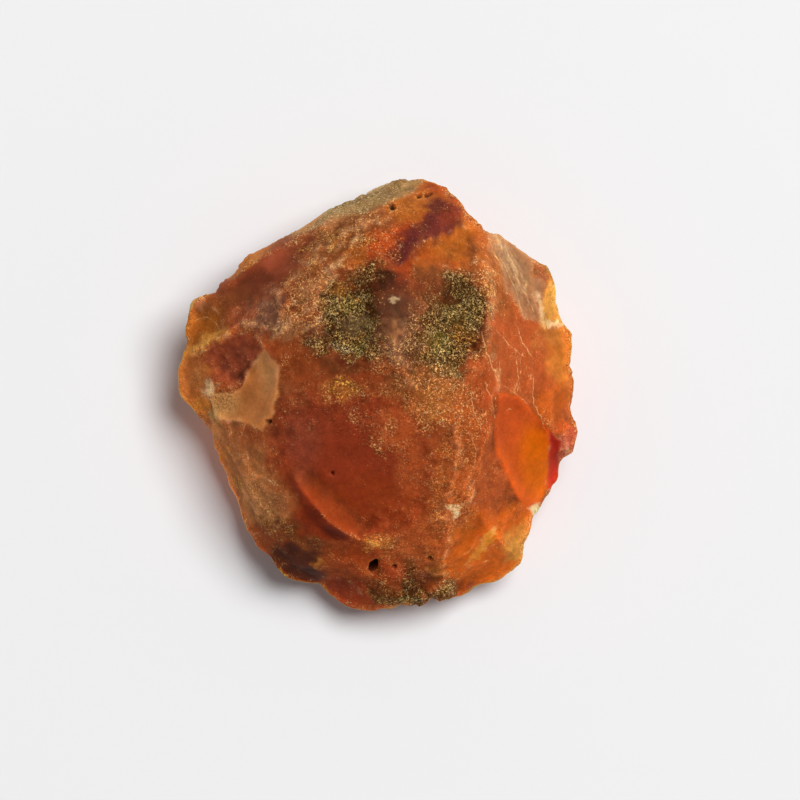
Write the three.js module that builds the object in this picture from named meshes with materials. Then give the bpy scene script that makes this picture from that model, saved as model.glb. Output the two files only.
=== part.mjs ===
// A lump of rough carnelian, as it was broken from its vein, not cut and not polished.
// Millimetres, +Z up. The origin is under the middle of the stone, on the surface it lies on.
//
// The stone is drawn as lines. The rim is its outline from above, the ridges of the upper side and of
// the underside are the edges where two breaks meet, and the foot is the flat break it lies on.
// The surface between the lines is a film stretched over them, so each break is slightly hollow, as
// the breaks of chalcedony are. Dents then press the pits and the scars into it, and the weathering
// moves every point a little, so that no ridge stays straight.

import * as THREE from "three";
import { ConvexHull } from "three/addons/math/ConvexHull.js";
import { ImprovedNoise } from "three/addons/math/ImprovedNoise.js";
import { mergeVertices } from "three/addons/utils/BufferGeometryUtils.js";

// Driving dimensions: the box that the finished stone fills.
const WIDTH = 46.2;
const LENGTH = 49.8;
const HEIGHT = 25.0;

// Distance between neighbouring points of the surface.
const TOP_GRAIN = 0.92;
const UNDERSIDE_GRAIN = 1.5;
const FOOT_GRAIN = 2.8;
const LINE_GRAIN = 0.8;
const SMALLEST_GAP = 0.62;
const JITTER = 0.2;

// Weathering: waves of three sizes, each with its wavelength and its greatest height.
const WEATHERING = [
  { wavelength: 7.5, height: 0.3 },
  { wavelength: 3.1, height: 0.12 },
  { wavelength: 1.6, height: 0.06 },
];
const WEATHERING_STARTS_AT = 2.0;
const SIDEWAYS_SHARE = 0.6;

// The rim, clockwise from the crusted point at the top of the outline.
const RIM = [
  [1.9, 25, 9], [4.5, 24.7, 10.5], [6.7, 24.5, 12.5], [7.8, 23.9, 13.5], [9.3, 22.4, 14],
  [10.3, 20.9, 14], [12.2, 18.9, 13], [14.1, 18.3, 10.5], [15.9, 17.4, 8.5], [17.4, 16.1, 7.5],
  [18.1, 15.6, 7.5], [19.6, 14.9, 8.5], [20.2, 14, 9.5], [20.4, 12.3, 10], [20.8, 10.3, 10],
  [21.3, 8.4, 9.5], [22.4, 6.9, 10.5], [22.6, 5.4, 11], [22.3, 4.1, 10.5], [22.7, 1.1, 9],
  [22.6, -0.6, 8], [22.4, -1.6, 8], [23.1, -4.4, 9], [22.6, -6.5, 8.5], [21.3, -8, 7],
  [20.8, -9.9, 6], [18.6, -13, 6], [18, -14, 6.5], [17.5, -15.5, 7], [16.9, -17.2, 7],
  [16.7, -19.2, 6], [15.9, -20.5, 5], [13.9, -21.5, 4], [9.9, -23.2, 4], [7.9, -23, 5.5],
  [5.9, -22.5, 6.5], [3.6, -23.2, 6.5], [1.9, -24.2, 5.5], [-0.6, -24.9, 5], [-2.4, -24.5, 5],
  [-4.8, -23.5, 4.5], [-7.4, -22.2, 4.5], [-9.7, -21.7, 5.5], [-11.1, -20.7, 6.5],
  [-12.1, -19.2, 7], [-13.9, -17.9, 6.5], [-15.4, -15.5, 5.5], [-16.4, -12.9, 5], [-17.2, -10.5, 5],
  [-18.2, -8.2, 5.5], [-19.2, -5.4, 6.5], [-20.5, -3.2, 7.5], [-22, -1.2, 8], [-23, 0.4, 8],
  [-23, 2.7, 8], [-22.6, 4.4, 8.5], [-22.4, 6, 9.5], [-22.3, 8, 10.5], [-21.9, 9.7, 11],
  [-21.6, 10.7, 11], [-20.3, 11.1, 10.5], [-18.8, 11.8, 10], [-17.5, 13.6, 9], [-15.3, 16.1, 7.5],
  [-13.5, 16.6, 7], [-11.4, 17.6, 7], [-9.7, 18.9, 8], [-8.4, 19.6, 8.5], [-6.7, 20.9, 9],
  [-3.7, 22.2, 9], [-0.8, 23.7, 8.5],
];

// The sharp ridges of the upper side.
const SHARP_RIDGES = {
  // The edge outside the spine, where the ground turns steeply down to the upper left.
  shoulder: [
    [-17.3, 6.9, 15.2], [-13.8, 10, 17.6], [-10.8, 12.8, 19.2], [-7.3, 16, 20], [-2.4, 19.8, 19.8],
    [1.9, 22.6, 17.6], [4.5, 24.5, 11.5],
  ],
  leftEdge: [[-22.4, 5.7, 9.3], [-20.2, 5.7, 12.3], [-17.3, 6.9, 15.2], [-14.1, 7.5, 17.8]],
  leftCorner: [[-20.3, 11.1, 10], [-18.4, 9, 12.8], [-17.3, 6.9, 15.2]],
  // The narrow band of old crust along the upper left of the rim.
  crustBand: [
    [-18.8, 11.8, 10], [-16.9, 12.9, 12.8], [-14.9, 15, 14], [-10.9, 16.9, 15], [-9.3, 18.1, 15.4],
    [-6.7, 19.3, 15.8], [-4, 20.6, 16], [-0.8, 22.1, 16], [1.9, 23.6, 15], [4.5, 24.6, 11],
  ],
  // The crescent: a low step round the lower left of the large hollow break.
  crescentLip: [
    [-9.2, -9.7, 18], [-7.6, -12.2, 17.2], [-5.7, -14.5, 16.3], [-3.7, -15.9, 15.4],
    [-1.7, -16.7, 14.8], [0.6, -17.2, 14.4],
  ],
  crescentFoot: [
    [-8.4, -8.7, 17.1], [-6.5, -10.6, 15.8], [-4.5, -12.4, 14.9], [-2.4, -14.2, 14.2],
    [-0.6, -15.4, 13.9],
  ],
  rightRidge: [
    [12.2, 18.9, 13], [12.3, 17.1, 16.6], [12.3, 15.1, 19.2], [12.6, 11.5, 21.2], [12.6, 7.5, 22],
    [12.1, 4, 22.1],
  ],
  rightCrest: [
    [12.6, -4.1, 20.4], [11.7, -7.4, 19.2], [9.8, -10.7, 17.9], [8.4, -13.3, 16.7],
    [7.9, -16.7, 14.5], [7.5, -20, 11], [7.9, -23, 6.5],
  ],
  // The pale break at the upper right and the short step at its lower end.
  paleBreak: [
    [12.3, 17.1, 16.6], [14.1, 13.8, 16.8], [16, 10.6, 15.6], [18.7, 7.9, 13.4], [21.3, 8.4, 9.5],
  ],
  paleStep: [[19.2, 7.2, 12.4], [21.4, 7.7, 9.8]],
  rightBelt: [
    [18.7, 7.9, 13.4], [19, 4, 13.8], [19.3, 0.7, 13.4], [19.5, -2.6, 12.8], [20.2, -4.4, 12.2],
    [23.1, -4.4, 9],
  ],
  // The fresh scar low on the right side: its edge, and the foot of the small step inside it.
  scarLip: [
    [19.5, -2.6, 12.8], [15.6, -0.2, 17], [13.1, 0, 19.6], [12.7, -3.8, 19.7], [14.3, -7.8, 16],
    [16.1, -11, 12], [18.6, -13, 7],
  ],
  scarFoot: [
    [19, -3.4, 12.2], [15.6, -0.9, 16.1], [13.8, -0.7, 18], [13.6, -3.7, 17.8], [15.1, -7.6, 14.6],
    [16.9, -10.8, 10.8],
  ],
  darkTip: [[20.2, -4.4, 12.2], [21.1, -6.2, 10.4], [20.8, -9.9, 6.4]],
  hip: [[-5.7, -14.5, 16.3], [-8, -16.8, 13.4], [-11, -17.8, 10.4], [-13.9, -17.9, 6.5]],
  leftBelt: [
    [-20.2, 5.7, 12.3], [-20.2, 2.1, 12], [-18.9, -1.2, 12.3], [-17.2, -4.5, 13], [-15.6, -7.8, 13],
    [-14.3, -11.8, 12.6], [-12.6, -14.7, 12], [-11, -17.8, 10.4],
  ],
  // The pale flake on the left side, which stands up along its right edge.
  flakeLip: [
    [-13.6, 6.4, 18.2], [-13.1, 5.5, 18.5], [-11.5, 3, 18.8], [-11.9, -0.9, 18.1], [-13, -4, 16.9],
  ],
  flakeFoot: [[-13.7, 4.8, 17.4], [-12.3, 2.6, 17.8], [-12.6, -0.7, 17.2], [-13.5, -3, 16.3]],
  lowerRight: [[9.8, -10.7, 17.9], [12.1, -14.2, 14], [14.3, -17.1, 10.6], [16.7, -19.2, 6]],
  // Two ribs down the steep upper left side.
  firstRib: [[-10.8, 12.8, 19.2], [-12.2, 14.1, 17.4], [-13.2, 15.6, 14.4]],
  secondRib: [[-4.6, 18.1, 19.9], [-5.6, 18.8, 18.4], [-6.7, 19.3, 15.8]],
};

// The worn ridges of the upper side, which are round.
const WORN_RIDGES = {
  // The spine, from the left edge over the highest ground to the top of the outline.
  spine: [
    [-14.1, 7.5, 17.8], [-11.8, 7.2, 19.7], [-8.5, 9.8, 21.6], [-6.1, 12.4, 22.6], [-4, 14.6, 23],
    [-0.7, 17.1, 23], [2.8, 20.5, 21.4], [5.3, 22.9, 18.4], [6.7, 24.5, 12.5],
  ],
  flank: [
    [-11.8, 7.2, 19.7], [-10.1, 5, 20.3], [-10.5, 2, 20], [-10.9, -2.5, 19.5], [-10.5, -6.4, 18.8],
    [-9.2, -9.7, 18],
  ],
  // The nose: the blunt ridge between the two pits, down to the right crest.
  nose: [
    [-0.7, 17.1, 23], [0.7, 14, 23.6], [1.2, 11.1, 24.2], [1.8, 7.2, 24.6], [2.8, 3.3, 24.2],
    [4.4, 0.7, 23.6], [6.5, -1.5, 23], [9.3, -3.5, 22.1], [12.6, -4.1, 20.4],
  ],
  breast: [
    [2.8, 3.3, 24.2], [2.3, 0.7, 23.2], [2.8, -2.5, 21.9], [4.8, -6.4, 20.1], [6.3, -9, 18.8],
    [6.3, -12.3, 17], [6.5, -17, 14.5],
  ],
  rightShoulder: [[12.1, 4, 22.1], [11.6, 1.1, 21.9], [12.2, -1.5, 21.3], [12.6, -4.1, 20.4]],
  brow: [[0.6, -17.2, 14.4], [3.2, -17, 14.5], [6.5, -17, 14.5], [7.9, -16.7, 14.5]],
  keel: [[-1.7, -16.7, 14.8], [-2.1, -20.4, 11.4], [-2.4, -24.5, 5]],
};

// The flat break that the stone lies on.
const FOOT = [
  [-8.6, 14.4], [1.8, 16.6], [10.2, 12.6], [15.4, 6], [15, -4.2], [11.4, -12.2], [4.6, -17],
  [-4.2, -17.4], [-10.8, -12.4], [-14.6, -4.2], [-15.6, 5.6],
];

// The ridges of the underside: each runs from the flat break over the belt to the rim.
const UNDERSIDE_RIDGES = {
  north: [[1.8, 16.6, 0], [2, 23, 4.4], [1.9, 25, 10]],
  northEast: [[10.2, 12.6, 0], [14.6, 15.9, 4], [15.9, 17.4, 9.5]],
  east: [[15.4, 6, 0], [20.6, 6.9, 3.4], [22.4, 6.9, 9.5]],
  eastSouthEast: [[15, -4.2, 0], [20.9, -4.4, 2.9], [23.1, -4.4, 9]],
  southEast: [[11.4, -12.2, 0], [15.2, -17.2, 2.4], [16.7, -19.2, 6]],
  south: [[4.6, -17, 0], [3.8, -21.4, 2.6], [3.6, -23.2, 6.5]],
  southSouthWest: [[-4.2, -17.4, 0], [-2.6, -22.8, 2], [-2.4, -24.5, 5]],
  southWest: [[-10.8, -12.4, 0], [-12.4, -16.2, 2.6], [-13.9, -17.9, 6]],
  westSouthWest: [[-14.6, -4.2, 0], [-16.9, -7.4, 2.9], [-18.2, -8.2, 6.5]],
  west: [[-15.6, 5.6, 0], [-21, 2.6, 3.6], [-23, 2.7, 8.5]],
  northWest: [[-8.6, 14.4, 0], [-12.4, 15.2, 3.8], [-13.5, 16.6, 9]],
  belt: [
    [2, 23, 4.4], [14.6, 15.9, 4], [20.6, 6.9, 3.4], [20.9, -4.4, 2.9], [15.2, -17.2, 2.4],
    [3.8, -21.4, 2.6], [-2.6, -22.8, 2], [-12.4, -16.2, 2.6], [-16.9, -7.4, 2.9], [-21, 2.6, 3.6],
    [-19.8, 9.9, 4.4], [-12.4, 15.2, 3.8], [-6.2, 19.3, 3.4], [2, 23, 4.4],
  ],
};

// Dents of the upper side. Each is an oval, radii along its own axes, turned by so many degrees.
// The grain is how close its points lie, and the roughness is how far its floor goes up and down.
const TOP_DENTS = [
  { at: [-3.5, 8.9], radii: [4, 6.3], turn: 8, depth: 1.5, grain: 0.68, roughness: 0.45 },
  { at: [9.4, 8], radii: [4.1, 6.3], turn: -4, depth: 1.3, grain: 0.68, roughness: 0.45 },
  { at: [-0.5, -19.9], radii: [0.9, 1.3], turn: 25, depth: 1.3, grain: 0.55, roughness: 0 },
  { at: [4.2, -22.2], radii: [2.6, 1.3], turn: 5, depth: 0.9, grain: 0.6, roughness: 0.3 },
  { at: [-16.4, 3.6], radii: [2.9, 2.2], turn: -20, depth: 0.9, grain: 0.85, roughness: 0 },
  { at: [10.4, -16.4], radii: [1.2, 2.6], turn: -35, depth: 0.6, grain: 0.7, roughness: 0 },
];

// Dents of the underside: wide, shallow scars.
const UNDERSIDE_DENTS = [
  { at: [8.2, 15.6], radii: [5.2, 3.4], turn: -35, depth: 1.3 },
  { at: [-14.8, -9.6], radii: [3, 5.4], turn: 18, depth: 0.9 },
  { at: [16.4, -9.4], radii: [3.2, 4.8], turn: -20, depth: 0.9 },
  { at: [-13.6, 11], radii: [3.2, 2.6], turn: 30, depth: 0.8 },
];

// The share of a dent's radius that its wall takes up, and how far out its closer points reach.
const DENT_WALL = 0.5;
const DENT_MARGIN = 1.15;

const COLOUR = "#b8461f";
const ROUGHNESS = 0.55;
const SEED = 20;
const FILM_SWEEPS = 500;
const OVER_RELAXATION = 1.7;
const WEAR_SWEEPS = 9;
const WEAR_REACH = 3.2;

// A repeatable source of numbers from 0 to 1.
function randomSource(seed) {
  let state = seed;
  return () => {
    state = (state + 0x6d2b79f5) | 0;
    let t = Math.imul(state ^ (state >>> 15), 1 | state);
    t = (t + Math.imul(t ^ (t >>> 7), 61 | t)) ^ t;
    return ((t ^ (t >>> 14)) >>> 0) / 4294967296;
  };
}

const random = randomSource(SEED);
const noise = new ImprovedNoise();

function smoothstep(value, low, high) {
  const t = THREE.MathUtils.clamp((value - low) / (high - low), 0, 1);
  return t * t * (3 - 2 * t);
}

// Points along a line of corners, close enough together to hold the edge. The last corner is left out.
function sampleLine(corners, grain) {
  const samples = [];
  for (let i = 0; i + 1 < corners.length; i += 1) {
    const start = new THREE.Vector3(...corners[i]);
    const end = new THREE.Vector3(...corners[i + 1]);
    const steps = Math.max(1, Math.round(Math.hypot(end.x - start.x, end.y - start.y) / grain));
    for (let step = 0; step < steps; step += 1) {
      samples.push(start.clone().lerp(end, step / steps));
    }
  }
  return samples;
}

function closed(corners) {
  return [...corners, corners[0]];
}

function isInside(outline, x, y) {
  let inside = false;
  for (let i = 0, j = outline.length - 1; i < outline.length; j = i, i += 1) {
    const a = outline[i];
    const b = outline[j];
    const crosses = a.y > y !== b.y > y;
    if (crosses && x < ((b.x - a.x) * (y - a.y)) / (b.y - a.y) + a.x) {
      inside = !inside;
    }
  }
  return inside;
}

function isClear(points, x, y, gap) {
  return points.every((point) => Math.hypot(point.x - x, point.y - y) > gap);
}

// How far out a place is in a dent, from 0 in its middle to 1 at its edge.
function dentRadius(dent, x, y) {
  const turn = THREE.MathUtils.degToRad(dent.turn);
  const dx = x - dent.at[0];
  const dy = y - dent.at[1];
  const u = (dx * Math.cos(turn) + dy * Math.sin(turn)) / dent.radii[0];
  const v = (dy * Math.cos(turn) - dx * Math.sin(turn)) / dent.radii[1];
  return Math.hypot(u, v);
}

// How deep a dent is at a place, from 0 at its edge to 1 on its floor.
function dentProfile(dent, x, y) {
  return smoothstep(1 - dentRadius(dent, x, y), 0, DENT_WALL);
}

// Adds the samples of a line that lie inside the outline and clear of the points already there.
function addLine(points, outline, corners, worn) {
  for (const { x, y, z } of sampleLine(corners, LINE_GRAIN)) {
    if (isClear(points, x, y, LINE_GRAIN * SMALLEST_GAP) && isInside(outline, x, y)) {
      points.push({ x, y, z, fixed: true, worn });
    }
  }
}

// Fills a region with points on a shaken honeycomb, keeping clear of those already there.
function fillRegion(points, contains, grain, height, fixed) {
  const rowStep = (grain * Math.sqrt(3)) / 2;
  const rows = Math.ceil(LENGTH / rowStep);
  const columns = Math.ceil(WIDTH / grain);
  for (let row = -rows; row <= rows; row += 1) {
    for (let column = -columns; column <= columns; column += 1) {
      const x = (column + (row % 2) / 2 + JITTER * (random() - 0.5)) * grain;
      const y = row * rowStep + JITTER * (random() - 0.5) * grain;
      if (contains(x, y) && isClear(points, x, y, grain * SMALLEST_GAP)) {
        points.push({ x, y, z: height, fixed });
      }
    }
  }
}

// The Delaunay triangles of the points inside the outline: the lower hull of the points lifted onto
// a bowl. The corners of each triangle run anticlockwise seen from above.
function triangulate(points, outline) {
  const lifted = points.map((p) => new THREE.Vector3(p.x, p.y, (p.x * p.x + p.y * p.y) / LENGTH));
  const indexOf = new Map(lifted.map((vertex, index) => [vertex, index]));
  const triangles = [];
  for (const face of new ConvexHull().setFromPoints(lifted).faces) {
    const [a, b, c] = [2, 1, 0].map((corner) => indexOf.get(face.getEdge(corner).head().point));
    const x = (points[a].x + points[b].x + points[c].x) / 3;
    const y = (points[a].y + points[b].y + points[c].y) / 3;
    if (face.normal.z < 0 && isInside(outline, x, y)) {
      triangles.push([a, b, c]);
    }
  }
  return triangles;
}

// How strongly each pair of neighbouring points pulls on each other in the film: the sum of the
// cotangents of the two angles that face the edge between them.
function filmPulls(points, triangles) {
  const pulls = points.map(() => new Map());
  const addPull = (from, to, pull) => pulls[from].set(to, (pulls[from].get(to) ?? 0) + pull);
  for (const triangle of triangles) {
    for (let corner = 0; corner < 3; corner += 1) {
      const [facing, a, b] = [0, 1, 2].map((step) => triangle[(corner + step) % 3]);
      const [ax, ay] = [points[a].x - points[facing].x, points[a].y - points[facing].y];
      const [bx, by] = [points[b].x - points[facing].x, points[b].y - points[facing].y];
      const cotangent = (ax * bx + ay * by) / Math.abs(ax * by - ay * bx);
      addPull(a, b, cotangent);
      addPull(b, a, cotangent);
    }
  }
  return pulls;
}

// Moves the chosen points towards the height to which their neighbours pull them.
function settle(points, pulls, chosen, relaxation) {
  points.forEach((point, index) => {
    if (chosen(point)) {
      let weighted = 0;
      let total = 0;
      for (const [other, pull] of pulls[index]) {
        weighted += pull * points[other].z;
        total += pull;
      }
      point.z += relaxation * (weighted / total - point.z);
    }
  });
}

// Stretches the film over the lines, and then rounds it off along the worn ridges.
function stretchFilm(points, triangles) {
  const pulls = filmPulls(points, triangles);
  for (let sweep = 0; sweep < FILM_SWEEPS; sweep += 1) {
    settle(points, pulls, (point) => !point.fixed, OVER_RELAXATION);
  }
  const worn = points.filter((point) => point.worn);
  const nearWorn = new Set(points.filter(({ x, y }) => !isClear(worn, x, y, WEAR_REACH)));
  for (let sweep = 0; sweep < WEAR_SWEEPS; sweep += 1) {
    settle(points, pulls, (point) => nearWorn.has(point) && (point.worn || !point.fixed), 1);
  }
}

// The rim's points, which the two sides share. A small shake keeps any three of them out of line.
function makeRim() {
  const shake = LINE_GRAIN * JITTER;
  return sampleLine(closed(RIM), LINE_GRAIN).map(({ x, y, z }) => ({
    x: x + shake * (random() - 0.5),
    y: y + shake * (random() - 0.5),
    z,
    fixed: true,
  }));
}

function makeTopSide(rim) {
  const points = [...rim];
  for (const corners of Object.values(SHARP_RIDGES)) {
    addLine(points, rim, corners, false);
  }
  for (const corners of Object.values(WORN_RIDGES)) {
    addLine(points, rim, corners, true);
  }
  for (const dent of TOP_DENTS) {
    const inDent = (x, y) => isInside(rim, x, y) && dentRadius(dent, x, y) < DENT_MARGIN;
    fillRegion(points, inDent, dent.grain, HEIGHT / 2, false);
  }
  fillRegion(points, (x, y) => isInside(rim, x, y), TOP_GRAIN, HEIGHT / 2, false);
  const triangles = triangulate(points, rim);
  stretchFilm(points, triangles);
  for (const point of points) {
    for (const dent of TOP_DENTS) {
      const profile = dentProfile(dent, point.x, point.y);
      const grit = dent.roughness * noise.noise(point.x / dent.grain, point.y / dent.grain, SEED);
      point.z -= profile * (dent.depth + grit);
    }
  }
  return { points, triangles };
}

function makeUnderside(rim) {
  const points = [...rim];
  const foot = FOOT.map(([x, y]) => new THREE.Vector3(x, y, 0));
  addLine(points, rim, closed(FOOT.map(([x, y]) => [x, y, 0])), false);
  for (const corners of Object.values(UNDERSIDE_RIDGES)) {
    addLine(points, rim, corners, false);
  }
  fillRegion(points, (x, y) => isInside(foot, x, y), FOOT_GRAIN, 0, true);
  fillRegion(points, (x, y) => isInside(rim, x, y), UNDERSIDE_GRAIN, 0, false);
  const triangles = triangulate(points, rim);
  stretchFilm(points, triangles);
  for (const point of points.filter(({ z }) => z > 0)) {
    for (const dent of UNDERSIDE_DENTS) {
      const aboveFoot = smoothstep(point.z, 0, dent.depth);
      point.z += aboveFoot * dent.depth * dentProfile(dent, point.x, point.y);
    }
  }
  return { points, triangles: triangles.map(([a, b, c]) => [a, c, b]) };
}

// Moves a point of the surface by the weathering. The flat break it lies on stays flat.
function weather(point) {
  const amount = smoothstep(point.z, 0, WEATHERING_STARTS_AT);
  const shift = new THREE.Vector3();
  for (const { wavelength, height } of WEATHERING) {
    const [x, y, z] = point.toArray().map((value) => value / wavelength);
    shift.x += SIDEWAYS_SHARE * height * noise.noise(x, y, z);
    shift.y += SIDEWAYS_SHARE * height * noise.noise(y, z, x + SEED);
    shift.z += height * noise.noise(z, x, y + SEED);
  }
  return point.addScaledVector(shift, amount);
}

function makeStone() {
  const rim = makeRim();
  const positions = [];
  const indices = [];
  for (const { points, triangles } of [makeTopSide(rim), makeUnderside(rim)]) {
    const first = positions.length / 3;
    for (const { x, y, z } of points) {
      positions.push(...weather(new THREE.Vector3(x, y, z)).toArray());
    }
    indices.push(...triangles.flat().map((corner) => corner + first));
  }
  const loose = new THREE.BufferGeometry();
  loose.setAttribute("position", new THREE.Float32BufferAttribute(positions, 3));
  loose.setIndex(indices);
  const geometry = mergeVertices(loose);
  geometry.computeBoundingBox();
  const { min, max } = geometry.boundingBox;
  geometry.translate(-(min.x + max.x) / 2, -(min.y + max.y) / 2, -min.z);
  geometry.scale(WIDTH / (max.x - min.x), LENGTH / (max.y - min.y), HEIGHT / (max.z - min.z));
  geometry.computeVertexNormals();
  return geometry;
}

const material = new THREE.MeshStandardMaterial({ color: COLOUR, roughness: ROUGHNESS });
const stone = new THREE.Mesh(makeStone(), material);
stone.name = "stone";

const carnelian = new THREE.Group();
carnelian.add(stone);

export default carnelian;
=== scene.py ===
"""A lump of rough carnelian on pale paper, seen from straight above.

The stone's surface starts from the solid of the node "stone". It is made finer, its relief is carved
into it along its normals, and its colours are painted on its points from tables of named places,
with painted shade in its hollows, painted light where it stands out and a painted glow low on its
far side. The node material adds what is finer than the points: grains of dust, partly painted
glints, and scratches. Lengths in the tables are in millimetres, in the row frame.
"""

import math
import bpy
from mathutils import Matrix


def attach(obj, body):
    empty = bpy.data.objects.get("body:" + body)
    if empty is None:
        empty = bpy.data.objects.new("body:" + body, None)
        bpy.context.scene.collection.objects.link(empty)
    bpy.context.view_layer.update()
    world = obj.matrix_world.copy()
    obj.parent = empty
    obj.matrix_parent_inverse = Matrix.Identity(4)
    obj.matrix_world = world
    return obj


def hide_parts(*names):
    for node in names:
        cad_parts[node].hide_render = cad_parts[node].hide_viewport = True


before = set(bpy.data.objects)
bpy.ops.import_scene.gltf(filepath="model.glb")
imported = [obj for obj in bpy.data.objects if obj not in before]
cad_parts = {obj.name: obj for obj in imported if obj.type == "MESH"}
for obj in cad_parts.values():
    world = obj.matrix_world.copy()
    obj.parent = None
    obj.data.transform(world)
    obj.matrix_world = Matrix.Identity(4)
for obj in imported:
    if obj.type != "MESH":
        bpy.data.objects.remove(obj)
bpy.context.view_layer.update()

from types import SimpleNamespace

import bmesh
import bpy
import numpy as np
from mathutils import Vector, noise

MM = 0.001

# ---------------- sizes of the mesh and the view

SUBDIVISIONS = 2
CREASE_FROM = math.radians(22)
CREASE_FULL = math.radians(60)
SAME_POINT = 0.001 * MM

# The camera looks straight down: where it is, and how wide its view is at that distance, in mm.
CAMERA_AT = (2.63, -0.66, 708.45)
SENSOR_WIDTH = 36.0
VIEW_WIDTH_AT_STONE = 92.8
VIEW_DISTANCE = 700.0

# The stage: the window's azimuth from +X and its elevation in degrees, the rest in metres and watts.
WINDOW_DIRECTION = (42, 64)
WINDOW_DISTANCE = 2.4
WINDOW_SIZE = 1.35
WINDOW_ENERGY = 58.5
WALL_BRIGHTNESS = 0.42
CEILING_BRIGHTNESS = 0.08
FLOOR_WIDTH = 4.0
PAPER = (0.84, 0.84, 0.85, 1)

# ---------------- colours, as sRGB hex

PALETTE = {
    "rust": "92441e",
    "warm rust": "b85628",
    "dark rust": "7a3820",
    "russet": "82461f",
    "russet red": "a04c30",
    "brown": "7c4222",
    "dark brown": "5c3420",
    "brick": "a04018",
    "ember": "c45422",
    "hot ember": "c04e1c",
    "deep red": "90361c",
    "dried blood": "863014",
    "blood": "b42a16",
    "tip red": "a44430",
    "plum": "5a2420",
    "plum brown": "6a341e",
    "maroon": "4e2416",
    "orange": "be581a",
    "bright orange": "d8641a",
    "pale orange": "a85a28",
    "amber orange": "b8621f",
    "glow": "d4802e",
    "scar orange": "cc5414",
    "glow orange": "d06000",
    "crescent orange": "943e18",
    "crescent red": "8c4430",
    "amber": "b06426",
    "amber brown": "a85c1e",
    "lit amber": "dc8230",
    "honey": "d2903e",
    "chip yellow": "e48e2e",
    "chip cream": "d8ac6c",
    "dark blood": "5e200e",
    "gold": "be7230",
    "tan gold": "ac602a",
    "crest orange": "b45624",
    "flank brown": "aa6034",
    "flank tan": "c07c48",
    "tan": "8a4e26",
    "smoke": "7c5440",
    "olive brown": "5c4018",
    "olive tan": "86693f",
    "break peach": "ac7850",
    "rim tan": "b07448",
    "pit brown": "6e3a1c",
    "lit peach": "c47a42",
    "rough gold": "c4884e",
    "flake peach": "d09058",
    "flake shade": "a86432",
    "cream": "e2bc8a",
    "crown cream": "b8a478",
    "black": "14100c",
    "crust": "321a08",
    "grey olive": "6e5636",
    "olive": "4a3e1a",
    "moss": "62581c",
    "gold grain": "dea868",
    "pale grain": "f0d09a",
    "scratch gold": "f2c07c",
    "moss grain": "e0b86e",
    "ochre grain": "c8842c",
    "ember grain": "e08e4a",
    "gold fleck": "e0a048",
}

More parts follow.
